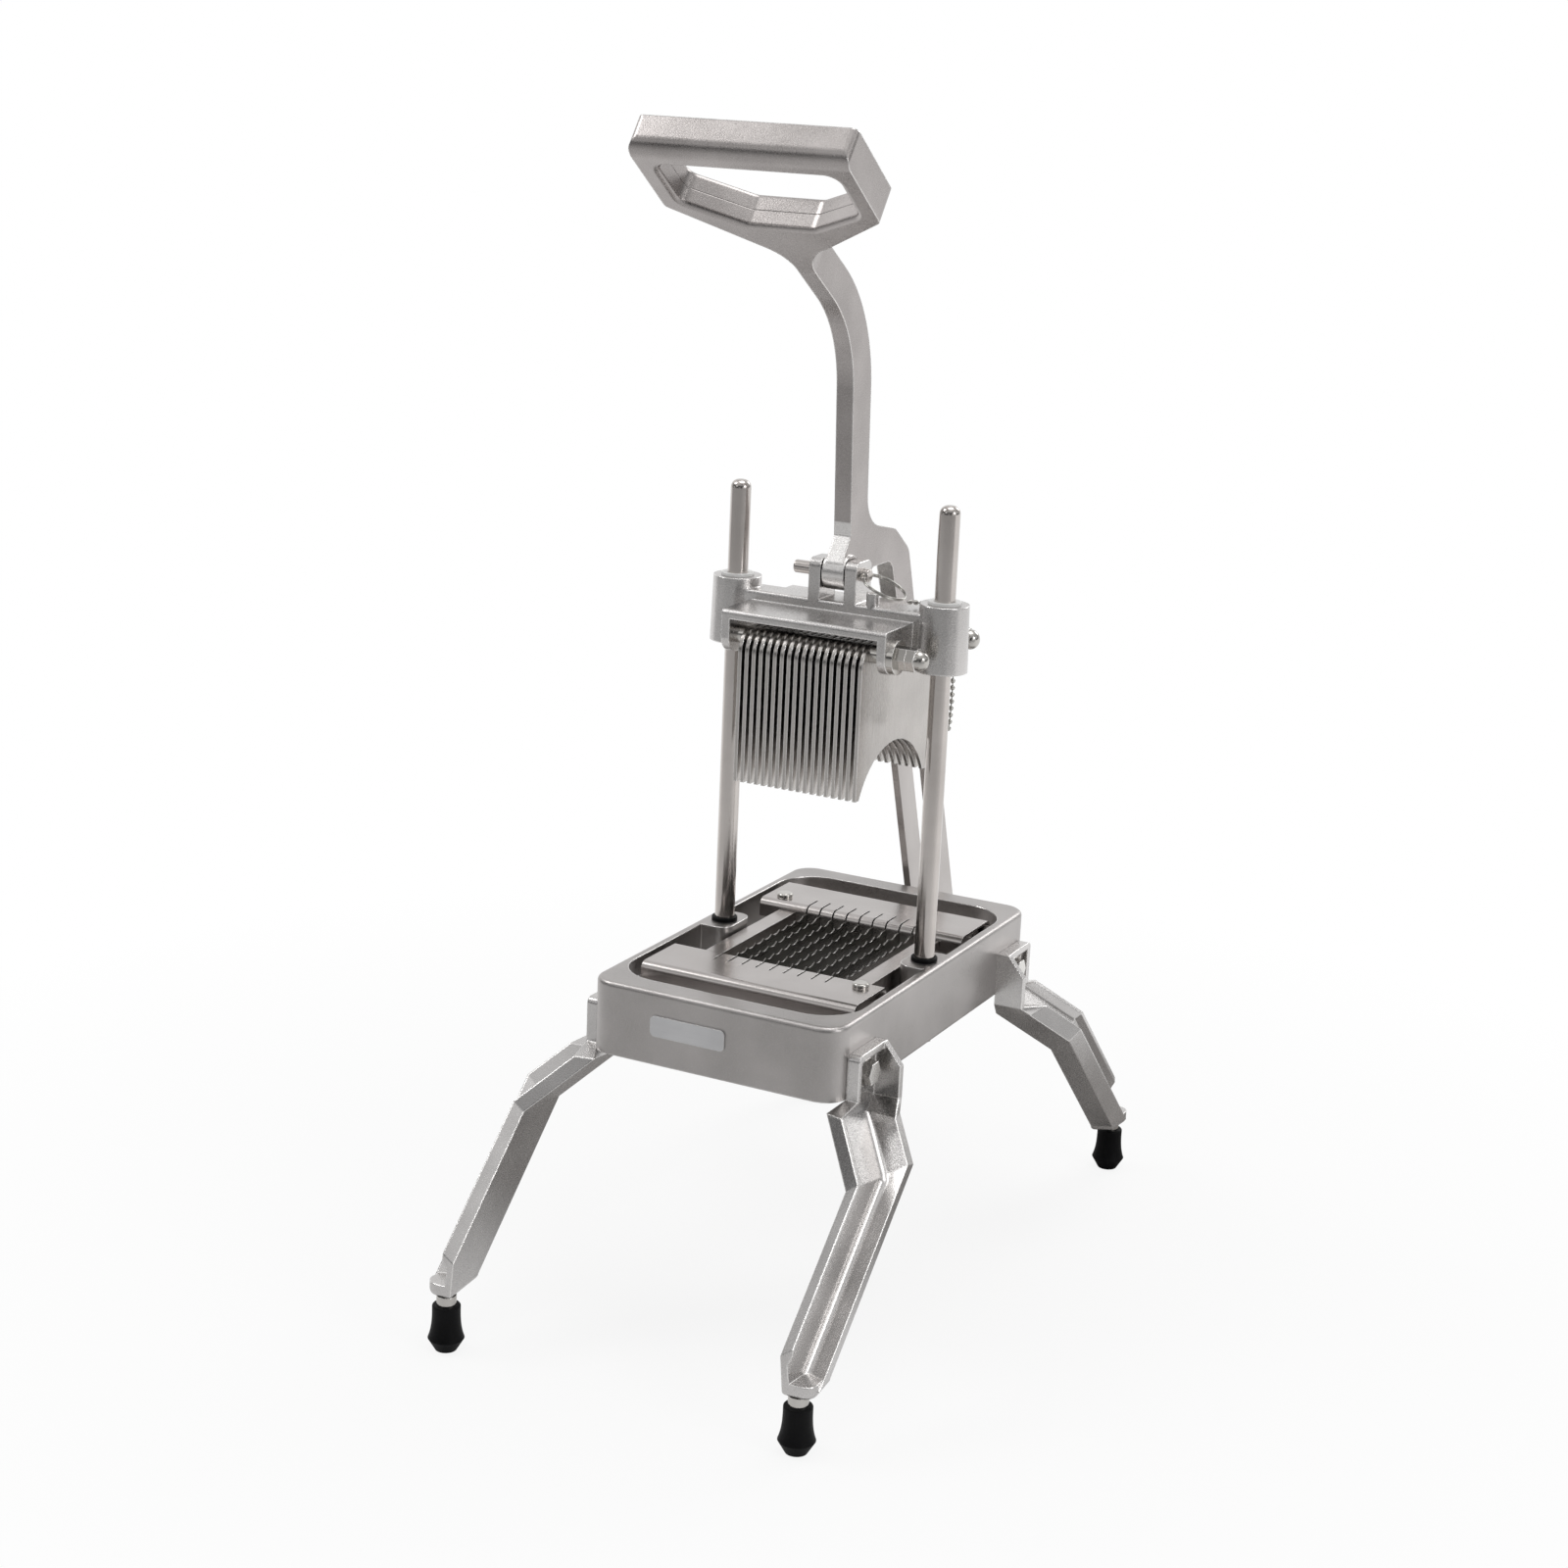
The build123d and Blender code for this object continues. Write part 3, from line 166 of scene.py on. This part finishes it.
def add_bump(tree, height, normal, strength, distance):
    bump = add_node(tree, "ShaderNodeBump")
    bump.inputs["Strength"].default_value = strength
    bump.inputs["Distance"].default_value = distance
    tree.links.new(height, bump.inputs["Height"])
    tree.links.new(normal, bump.inputs["Normal"])
    return bump.outputs["Normal"]


# Metal and dull surfaces

# Levels of the noise over which the tone, the bright flecks and the roughness change
TONE_SPAN = (0.35, 0.65)
FLECK_SPAN = (0.53, 0.66)
ROUGH_SPAN = (0.3, 0.7)

POLISH_AND_HIGHLIGHT = (0.92, 0.905, 0.89)
POLISHED_ROUGH = 0.15
MARK_SHADE = 0.35
MARK_DEPTH = 2.0
METAL_CLOUDS_PER_M = 22.0
METAL_CLOUD_DETAIL = 4.0
METAL_GRAIN_ROUGHNESS = 0.65
METAL_BUMP = 0.6
GRAIN_DETAIL = 2.0

DULL_CLOUDS_PER_M = 60.0
DULL_EDGE = 0.8 * MM
DULL_EDGE_LIFT = 1.3
DULL_VARY = 0.08
DULL_BUMP = 0.5


def metal(name, dark, light, rough, edge_radius, grain_per_m, grain_depth,
          stretch=EVEN, vary=0.07, fleck=0.0, marks=None, ground_and_highlight=None):
    # fleck is the share of polish on the grain's high spots
    # marks builds a mask of dark lines, and the last argument a mask of bare ground metal that is also
    # painted bright as a highlight
    material, tree, shader = start_material(name)
    cloud = noise(tree, METAL_CLOUDS_PER_M, METAL_CLOUD_DETAIL)
    grain = noise(tree, grain_per_m, GRAIN_DETAIL, stretch, METAL_GRAIN_ROUGHNESS)
    edge, soft_normal = edge_mask(tree, edge_radius)
    colour = mix_colour(tree, remap(tree, cloud, TONE_SPAN), dark, light)
    colour = mix_colour(tree, remap(tree, grain, FLECK_SPAN, (0.0, fleck)), colour, POLISH_AND_HIGHLIGHT)
    # Edges: polished by handling, and painted bright as an edge highlight too
    colour = mix_colour(tree, edge, colour, POLISH_AND_HIGHLIGHT)
    # Ground metal, painted bright also as a highlight on the front faces
    if ground_and_highlight:
        colour = mix_colour(tree, ground_and_highlight(tree), colour, POLISH_AND_HIGHLIGHT)
    relief = grain
    if marks:
        mask = marks(tree)
        mark_colour = tuple(channel * MARK_SHADE for channel in dark)
        colour = mix_colour(tree, mask, colour, mark_colour)
        relief = combine(tree, "SUBTRACT", grain, combine(tree, "MULTIPLY", mask, MARK_DEPTH))
    rough_grain = remap(tree, grain, ROUGH_SPAN, (rough - vary, rough + vary))
    rough_cloud = remap(tree, cloud, ROUGH_SPAN, (-vary / 2, vary / 2))
    open_rough = combine(tree, "ADD", rough_grain, rough_cloud)
    kept_rough = combine(tree, "MULTIPLY", open_rough, combine(tree, "SUBTRACT", 1.0, edge))
    worn_rough = combine(tree, "MULTIPLY", edge, POLISHED_ROUGH)
    tree.links.new(colour, shader.inputs["Base Color"])
    tree.links.new(combine(tree, "ADD", kept_rough, worn_rough), shader.inputs["Roughness"])
    tree.links.new(add_bump(tree, relief, soft_normal, METAL_BUMP, grain_depth), shader.inputs["Normal"])
    shader.inputs["Metallic"].default_value = 1.0
    return material


def dull(name, dark, light, rough, grain_per_m, grain_depth, shine):
    material, tree, shader = start_material(name)
    cloud = noise(tree, DULL_CLOUDS_PER_M)
    grain = noise(tree, grain_per_m, GRAIN_DETAIL)
    edge, soft_normal = edge_mask(tree, DULL_EDGE)
    colour = mix_colour(tree, remap(tree, cloud, TONE_SPAN), dark, light)
    # Edges painted lighter: a painted highlight
    painted_edge_highlight = tuple(min(1.0, channel * DULL_EDGE_LIFT) for channel in light)
    roughness = remap(tree, grain, ROUGH_SPAN, (rough - DULL_VARY, rough + DULL_VARY))
    tree.links.new(mix_colour(tree, edge, colour, painted_edge_highlight), shader.inputs["Base Color"])
    tree.links.new(roughness, shader.inputs["Roughness"])
    tree.links.new(add_bump(tree, grain, soft_normal, DULL_BUMP, grain_depth), shader.inputs["Normal"])
    shader.inputs["Specular IOR Level"].default_value = shine
    return material


# Parting line of the handle's casting, on the inner faces of the grip loop only

LOOP_TILT = math.radians(35.7)
LOOP_ORIGIN = (0.0, -152.0 * MM, 698.0 * MM)
THROUGH_LOOP = (0.0, math.sin(LOOP_TILT), math.cos(LOOP_TILT))
DOWN_LOOP = (0.0, math.cos(LOOP_TILT), -math.sin(LOOP_TILT))
LOOP_MIDDLE = 11.0 * MM
LOOP_WINDOW_HALF = 57.0 * MM
LOOP_WINDOW_START = 12.0 * MM
LOOP_WINDOW_END = 72.0 * MM
PARTING_WIDTH = 0.35 * MM


def parting_line(tree):
    place = add_node(tree, "ShaderNodeTexCoord")
    from_origin = add_node(tree, "ShaderNodeVectorMath", operation="SUBTRACT")
    feed(tree, from_origin.inputs[0], place.outputs["Object"])
    feed(tree, from_origin.inputs[1], LOOP_ORIGIN)
    local = from_origin.outputs["Vector"]
    depth = measure(tree, "DOT_PRODUCT", local, THROUGH_LOOP)
    reach = measure(tree, "DOT_PRODUCT", local, DOWN_LOOP)
    from_line = combine(tree, "ABSOLUTE", combine(tree, "SUBTRACT", depth, LOOP_MIDDLE))
    line = remap(tree, from_line, (0.0, PARTING_WIDTH), (1.0, 0.0))
    sideways = combine(tree, "ABSOLUTE", axis_of(tree, local, "X"))
    limits = (
        combine(tree, "LESS_THAN", sideways, LOOP_WINDOW_HALF),
        combine(tree, "GREATER_THAN", reach, LOOP_WINDOW_START),
        combine(tree, "LESS_THAN", reach, LOOP_WINDOW_END),
    )
    for limit in limits:
        line = combine(tree, "MULTIPLY", line, limit)
    return line


# Ground front of the handle's pivot lug, below the lever, painted bright also as a highlight on every face
# there that faces the front

LUG_TOP = 477.0 * MM
LUG_FADE = 0.5 * MM
LUG_SHARE = 0.85
# Y of the normal where the ground patch with its painted highlight begins and where it is full
LUG_FRONT_SPAN = (-0.2, -0.5)


def lug_ground_and_highlight(tree):
    place = add_node(tree, "ShaderNodeTexCoord")
    height = axis_of(tree, place.outputs["Object"], "Z")
    below = remap(tree, height, (LUG_TOP + LUG_FADE, LUG_TOP - LUG_FADE), (0.0, LUG_SHARE))
    facing = axis_of(tree, place.outputs["Normal"], "Y")
    return combine(tree, "MULTIPLY", below, remap(tree, facing, LUG_FRONT_SPAN))


# Finishes

CAST_GRAIN = dict(edge_radius=1.3 * MM, grain_per_m=1300.0, grain_depth=0.10 * MM)
FASTENER_GRAIN = dict(grain_per_m=900.0, grain_depth=0.01 * MM, vary=0.03)
METALS = {
    "cast_aluminium": dict(
        dark=(0.405, 0.387, 0.378), light=(0.490, 0.469, 0.459), rough=0.35, fleck=0.10, **CAST_GRAIN),
    "handle_cast": dict(
        dark=(0.375, 0.350, 0.341), light=(0.475, 0.445, 0.434), rough=0.30, fleck=0.12,
        marks=parting_line, ground_and_highlight=lug_ground_and_highlight, **CAST_GRAIN),
    # The legs and the head are painted as brighter copies of the cast aluminium than the base and the
    # handle: a painted highlight for the glints and bright patches on these castings
    "lit_leg_cast": dict(
        dark=(0.54, 0.526, 0.518), light=(0.66, 0.643, 0.634), rough=0.25, fleck=0.14, **CAST_GRAIN),
    "lit_head_cast": dict(
        dark=(0.55, 0.535, 0.527), light=(0.69, 0.672, 0.662), rough=0.28, fleck=0.20, **CAST_GRAIN),
    "blank_badge": dict(
        dark=(0.60, 0.60, 0.61), light=(0.70, 0.70, 0.71), rough=0.46, edge_radius=0.5 * MM,
        grain_per_m=700.0, grain_depth=0.03 * MM, stretch=ALONG_X),
    "rod_steel": dict(
        dark=(0.53, 0.495, 0.472), light=(0.62, 0.583, 0.558), rough=0.19, edge_radius=0.6 * MM,
        grain_per_m=600.0, grain_depth=0.006 * MM, stretch=AROUND_Z, vary=0.03),
    "sheet_steel": dict(
        dark=(0.47, 0.443, 0.429), light=(0.53, 0.502, 0.488), rough=0.24, edge_radius=0.2 * MM,
        grain_per_m=900.0, grain_depth=0.001 * MM, stretch=ALONG_X, vary=0.02),
    # Blades painted dark: painted shade of the window they stand in
    "blade_steel": dict(
        dark=(0.16, 0.15, 0.14), light=(0.26, 0.25, 0.23), rough=0.30, edge_radius=0.25 * MM,
        grain_per_m=800.0, grain_depth=0.01 * MM, stretch=ALONG_Y),
    "pusher_aluminium": dict(
        dark=(0.46, 0.438, 0.419), light=(0.56, 0.535, 0.512), rough=0.26, edge_radius=0.9 * MM,
        grain_per_m=800.0, grain_depth=0.015 * MM, stretch=ALONG_Z, vary=0.04),
    "fastener_steel": dict(
        dark=(0.50, 0.483, 0.458), light=(0.64, 0.62, 0.59), rough=0.16, edge_radius=0.7 * MM,
        **FASTENER_GRAIN),
    # Bolts in the leg pads: a brighter copy of the fastener steel, a painted highlight
    "lit_leg_bolt_steel": dict(
        dark=(0.66, 0.645, 0.62), light=(0.78, 0.765, 0.74), rough=0.26, edge_radius=0.7 * MM,
        **FASTENER_GRAIN),
    # Washers under the leg bolts: painted dark as the shadow around the bolt heads
    "shaded_leg_washer_steel": dict(
        dark=(0.20, 0.19, 0.18), light=(0.30, 0.285, 0.27), rough=0.30, edge_radius=0.5 * MM,
        **FASTENER_GRAIN),
    "ring_steel": dict(
        dark=(0.42, 0.41, 0.39), light=(0.56, 0.55, 0.52), rough=0.20, edge_radius=0.3 * MM,
        **FASTENER_GRAIN),
}
DULLS = {
    "black_rubber": dict(
        dark=(0.0025, 0.0025, 0.003), light=(0.005, 0.005, 0.0055), rough=0.50,
        grain_per_m=1500.0, grain_depth=0.05 * MM, shine=0.12),
    "white_plastic": dict(
        dark=(0.90, 0.90, 0.885), light=(0.95, 0.95, 0.935), rough=0.42,
        grain_per_m=1200.0, grain_depth=0.02 * MM, shine=0.5),
}
# Nodes whose finish isn't the one of their slot, some of them lit or shaded copies carrying painted light
# and shade; the cast legs have theirs too
OWN_FINISH = {
    "handle": "handle_cast",
    "push_head": "lit_head_cast",
    "leg_bolts": "lit_leg_bolt_steel",
    "leg_washers": "shaded_leg_washer_steel",
}


def finish_of(name):
    slot = slot_of[name]
    if name.startswith("leg_") and slot == "cast_aluminium":
        return finishes["lit_leg_cast"]
    return finishes[OWN_FINISH.get(name, slot)]


finishes = {name: metal(name, **look) for name, look in METALS.items()}
finishes.update({name: dull(name, **look) for name, look in DULLS.items()})
for name, obj in nodes.items():
    obj.data.materials.clear()
    obj.data.materials.append(finish_of(name))


# Object helpers

# Weight of a curve's point beside its place
POINT_WEIGHT = 1.0


def add_object(name, data):
    obj = bpy.data.objects.new(name, data)
    scene.collection.objects.link(obj)
    return obj


def dress(obj, slot, body):
    obj.data.materials.append(finishes[slot])
    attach(obj, body)


# Tether chain: beads on a wire that follows the route of the solid

CHAIN_WIRE = 0.9 * MM
CHAIN_ORDER = 3
CHAIN_STEPS = 24
BEAD_DIAMETER = 3.2 * MM
BEAD_PITCH = 4.3 * MM
BEAD_SEGMENTS = 16
BEAD_RINGS = 10
# In millimetres, from the ring to the screw under the head
CHAIN_ROUTE = [
    (45.73, 4.7, 433.93),
    (57.5, 24.0, 431.5),
    (67.0, 28.5, 416.0),
    (68.5, 28.8, 384.0),
    (68.0, 28.5, 356.0),
    (66.5, 28.3, 350.5),
    (62.5, 28.0, 350.0),
    (61.0, 27.8, 356.0),
    (60.8, 26.5, 382.0),
    (60.8, 25.0, 406.2),
]


def points_along(points, spacing):
    # Places at even spacing on a polyline, with the direction there
    places = []
    travelled = 0.0
    target = spacing / 2
    for start, end in zip(points, points[1:]):
        run = (end - start).length
        while run > 0 and target <= travelled + run:
            places.append((start.lerp(end, (target - travelled) / run), (end - start).normalized()))
            target += spacing
        travelled += run
    return places


def bead_row(places):
    row = bmesh.new()
    for place, direction in places:
        turn = direction.to_track_quat("Z", "Y").to_matrix().to_4x4()
        bmesh.ops.create_uvsphere(row, u_segments=BEAD_SEGMENTS, v_segments=BEAD_RINGS,
                                  radius=BEAD_DIAMETER / 2, matrix=Matrix.Translation(place) @ turn)
    for face in row.faces:
        face.smooth = True
    mesh = bpy.data.meshes.new("tether_beads")
    row.to_mesh(mesh)
    row.free()
    return mesh


chain_curve = bpy.data.curves.new("tether_wire", "CURVE")
chain_curve.dimensions = "3D"
spline = chain_curve.splines.new("NURBS")
spline.points.add(len(CHAIN_ROUTE) - 1)
for point, place in zip(spline.points, CHAIN_ROUTE):
    point.co = (*(Vector(place) * MM), POINT_WEIGHT)
spline.order_u = CHAIN_ORDER
spline.use_endpoint_u = True
spline.resolution_u = CHAIN_STEPS
chain_wire = add_object("tether_wire", chain_curve)

# The curve as a bare line, before it gets its thickness
bpy.context.view_layer.update()
bare_line = bpy.data.meshes.new_from_object(chain_wire)
chain_path = [vertex.co.copy() for vertex in bare_line.vertices]
bpy.data.meshes.remove(bare_line)

chain_curve.bevel_depth = CHAIN_WIRE / 2
dress(chain_wire, "ring_steel", "push_head")
beads = add_object("tether_beads", bead_row(points_along(chain_path, BEAD_PITCH)))
dress(beads, "ring_steel", "push_head")
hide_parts("tether_chain")


# Split ring: two turns of wire side by side, in the place of the plain ring

RING_RADIUS = 14.0 * MM
RING_WIRE = 1.1 * MM
RING_WIRE_RESOLUTION = 4
RING_DIP = math.radians(24.0)
RING_HOLE = Vector((17.5, 4.7, 446.5)) * MM
RING_TURNS = 2.0
RING_STEPS = 96
# Half of the stretch, in turns, over which the wire steps from one turn to the next
STEP_TURN = 0.12

ring_out = Vector((math.cos(RING_DIP), 0.0, -math.sin(RING_DIP)))
ring_side = Vector((0.0, 1.0, 0.0))
ring_normal = ring_out.cross(ring_side)
ring_middle = RING_HOLE + ring_out * RING_RADIUS
ring_curve = bpy.data.curves.new("split_ring", "CURVE")
ring_curve.dimensions = "3D"
ring_curve.bevel_depth = RING_WIRE / 2
ring_curve.bevel_resolution = RING_WIRE_RESOLUTION
ring_curve.use_fill_caps = True
coil = ring_curve.splines.new("POLY")
coil.points.add(RING_STEPS)
for index, point in enumerate(coil.points):
    turns = RING_TURNS * index / RING_STEPS
    angle = math.tau * turns
    shift = min(1.0, max(-1.0, (turns - RING_TURNS / 2) / STEP_TURN)) * RING_WIRE / 2
    spoke = ring_out * math.cos(angle) + ring_side * math.sin(angle)
    point.co = (*(ring_middle + spoke * RING_RADIUS + ring_normal * shift), POINT_WEIGHT)
split_ring = add_object("split_ring", ring_curve)
dress(split_ring, "ring_steel", "push_head")
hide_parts("pin_ring")


# Floor

FLOOR_SIZE = 40.0
FLOOR_ROUGH = 0.8
FLOOR_PAINT = (0.92, 0.92, 0.92)
FLOOR_SHADED = (0.42, 0.405, 0.395)
FLOOR_MIDDLE = (0.0, 0.0, 0.0)
# A strength of 1 is white
FLOOR_GLOW = 1.0
# Distance from the middle over which the floor is seen to turn white, and the share of white there
FADE_SPAN = (0.15, 0.80)
FADE_SHARE = (0.86, 1.0)
# Y over which the floor passes into the sweep behind the part
BEHIND_SPAN = (-0.45, 0.25)
# Middle of the part's shade, and the distance from it over which the shade ends
SHADE_MIDDLE = (-0.05, 0.25, 0.0)
SHADE_SPAN = (0.28, 0.43)


def floor_material():
    material, tree, paint = start_material("pale_floor")
    place = add_node(tree, "ShaderNodeNewGeometry").outputs["Position"]
    rays = add_node(tree, "ShaderNodeLightPath")
    far = remap(tree, measure(tree, "DISTANCE", place, FLOOR_MIDDLE), FADE_SPAN, FADE_SHARE)
    # Mirrored in metal, the white sweep lies behind the part, and the floor close to it is in its shade
    behind = remap(tree, axis_of(tree, place, "Y"), BEHIND_SPAN)
    unshaded = remap(tree, measure(tree, "DISTANCE", place, SHADE_MIDDLE), SHADE_SPAN)
    sweep = combine(tree, "MULTIPLY", behind, unshaded)
    mirrored_sweep = combine(tree, "MULTIPLY", rays.outputs["Is Glossy Ray"], sweep)
    shade = combine(tree, "SUBTRACT", 1.0, unshaded)
    mirrored_shade = combine(tree, "MULTIPLY", rays.outputs["Is Glossy Ray"], shade)
    tree.links.new(mix_colour(tree, mirrored_shade, FLOOR_PAINT, FLOOR_SHADED), paint.inputs["Base Color"])
    paint.inputs["Roughness"].default_value = FLOOR_ROUGH
    glow = add_node(tree, "ShaderNodeEmission")
    glow.inputs["Strength"].default_value = FLOOR_GLOW
    seen_white = combine(tree, "MAXIMUM", rays.outputs["Is Camera Ray"], mirrored_sweep)
    seen_white = combine(tree, "MAXIMUM", seen_white, rays.outputs["Is Transmission Ray"])
    share = combine(tree, "MULTIPLY", far, seen_white)
    surface = mix_shader(tree, share, paint.outputs["BSDF"], glow.outputs["Emission"])
    tree.links.new(surface, tree.nodes["Material Output"].inputs["Surface"])
    return material


floor_half = FLOOR_SIZE / 2
corner_sides = ((-1, -1), (1, -1), (1, 1), (-1, 1))
floor_corners = [(side_x * floor_half, side_y * floor_half, 0.0) for side_x, side_y in corner_sides]
floor_mesh = bpy.data.meshes.new("floor")
floor_mesh.from_pydata(floor_corners, [], [range(len(floor_corners))])
floor_mesh.materials.append(floor_material())
floor = add_object("floor", floor_mesh)


# Room around the part

ROOM_STRENGTH = 0.32
DIM_ROOM = (0.05, 0.05, 0.052)
# Direction of the white sweep, and the cosine to it from the sweep's rim inwards
SWEEP_WAY = (-0.45, 0.89, 0.0)
SWEEP_SPAN = (0.05, 0.75)
SWEEP_LEVEL = 0.9
# Upward share of the direction, from the ceiling's rim inwards
CEILING_SPAN = (0.35, 0.95)
CEILING_LEVEL = 0.90
# Direction, half angle in degrees and level of each round light panel, and the full-lit share of the angle
PANELS = [
    ((0.94, -0.34, 0.0), 30.0, 0.80),
    ((-0.80, -0.60, 0.0), 16.0, 0.50),
    ((0.20, -0.98, 0.1), 9.0, 0.35),
    ((-0.39, -0.83, 0.40), 14.0, 0.9),
    ((0.84, 0.36, 0.40), 20.0, 0.60),
    ((-0.80, 0.30, 0.52), 16.0, 1.0),
]
PANEL_CORE = 0.6


def mirrored_light(tree):
    # Metal mirrors the white sweep behind the part, the ceiling, and light panels in a dim room
    way = add_node(tree, "ShaderNodeTexCoord").outputs["Generated"]
    sweep = remap(tree, measure(tree, "DOT_PRODUCT", way, SWEEP_WAY), SWEEP_SPAN, (0.0, SWEEP_LEVEL))
    ceiling = remap(tree, axis_of(tree, way, "Z"), CEILING_SPAN, (0.0, CEILING_LEVEL))
    bright = combine(tree, "MAXIMUM", sweep, ceiling)
    for panel_way, half_angle, level in PANELS:
        rim = math.cos(math.radians(half_angle))
        core = math.cos(math.radians(half_angle * PANEL_CORE))
        panel = remap(tree, measure(tree, "DOT_PRODUCT", way, panel_way), (rim, core), (0.0, level))
        bright = combine(tree, "MAXIMUM", bright, panel)
    return mix_colour(tree, bright, DIM_ROOM, WHITE)


world = bpy.data.worlds.new("studio")
scene.world = world
world.use_nodes = True
world_tree = world.node_tree
backdrop = world_tree.nodes["Background"]
backdrop.inputs["Color"].default_value = (*WHITE, OPAQUE)
plain_room = add_node(world_tree, "ShaderNodeBackground")
plain_room.inputs["Color"].default_value = (*WHITE, OPAQUE)
plain_room.inputs["Strength"].default_value = ROOM_STRENGTH
mirrored_room = add_node(world_tree, "ShaderNodeBackground")
world_tree.links.new(mirrored_light(world_tree), mirrored_room.inputs["Color"])
world_rays = add_node(world_tree, "ShaderNodeLightPath")
lit_room = mix_shader(world_tree, world_rays.outputs["Is Glossy Ray"],
                      plain_room.outputs["Background"], mirrored_room.outputs["Background"])
shown = combine(world_tree, "MAXIMUM",
                world_rays.outputs["Is Camera Ray"], world_rays.outputs["Is Transmission Ray"])
world_surface = mix_shader(world_tree, shown, lit_room, backdrop.outputs["Background"])
world_tree.links.new(world_surface, world_tree.nodes["World Output"].inputs["Surface"])


# Lamps

# Name, place and side in metres, and power in watts
LAMPS = [
    ("key", (-1.7, -0.6, 2.2), 0.9, 13.0),
    ("fill", (2.2, -0.5, 1.4), 0.8, 9.0),
    ("top", (0.1, 0.2, 2.5), 1.2, 12.0),
    ("rim", (0.6, 2.0, 1.5), 0.9, 8.0),
]
LAMP_AIM = Vector((0.0, 0.0, 0.32))
for name, place, side, power in LAMPS:
    lamp_data = bpy.data.lights.new(name, "AREA")
    lamp_data.shape = "SQUARE"
    lamp_data.size = side
    lamp_data.energy = power
    lamp = add_object(name, lamp_data)
    lamp.location = place
    lamp.rotation_euler = (LAMP_AIM - Vector(place)).to_track_quat("-Z", "Y").to_euler()


# Camera, fitted to the photo; sensor and lens in millimetres

CAMERA_PLACE = Vector((735.9, -1513.3, 774.6)) * MM
CAMERA_YAW = math.radians(26.833)
CAMERA_PITCH = math.radians(15.363)
CAMERA_ROLL = math.radians(-2.511)
SENSOR_WIDTH = 36.0
LENS = 64.655

forward = Vector((
    -math.sin(CAMERA_YAW) * math.cos(CAMERA_PITCH),
    math.cos(CAMERA_YAW) * math.cos(CAMERA_PITCH),
    -math.sin(CAMERA_PITCH),
))
level_right = Vector((math.cos(CAMERA_YAW), math.sin(CAMERA_YAW), 0.0))
level_down = forward.cross(level_right)
right = math.cos(CAMERA_ROLL) * level_right + math.sin(CAMERA_ROLL) * level_down
down = -math.sin(CAMERA_ROLL) * level_right + math.cos(CAMERA_ROLL) * level_down
camera_data = bpy.data.cameras.new("photo_camera")
camera_data.sensor_width = SENSOR_WIDTH
camera_data.lens = LENS
camera = add_object("photo_camera", camera_data)
camera_turn = Matrix((right, -down, -forward)).transposed().to_4x4()
camera.matrix_world = Matrix.Translation(CAMERA_PLACE) @ camera_turn
scene.camera = camera
scene.view_settings.view_transform = "Standard"
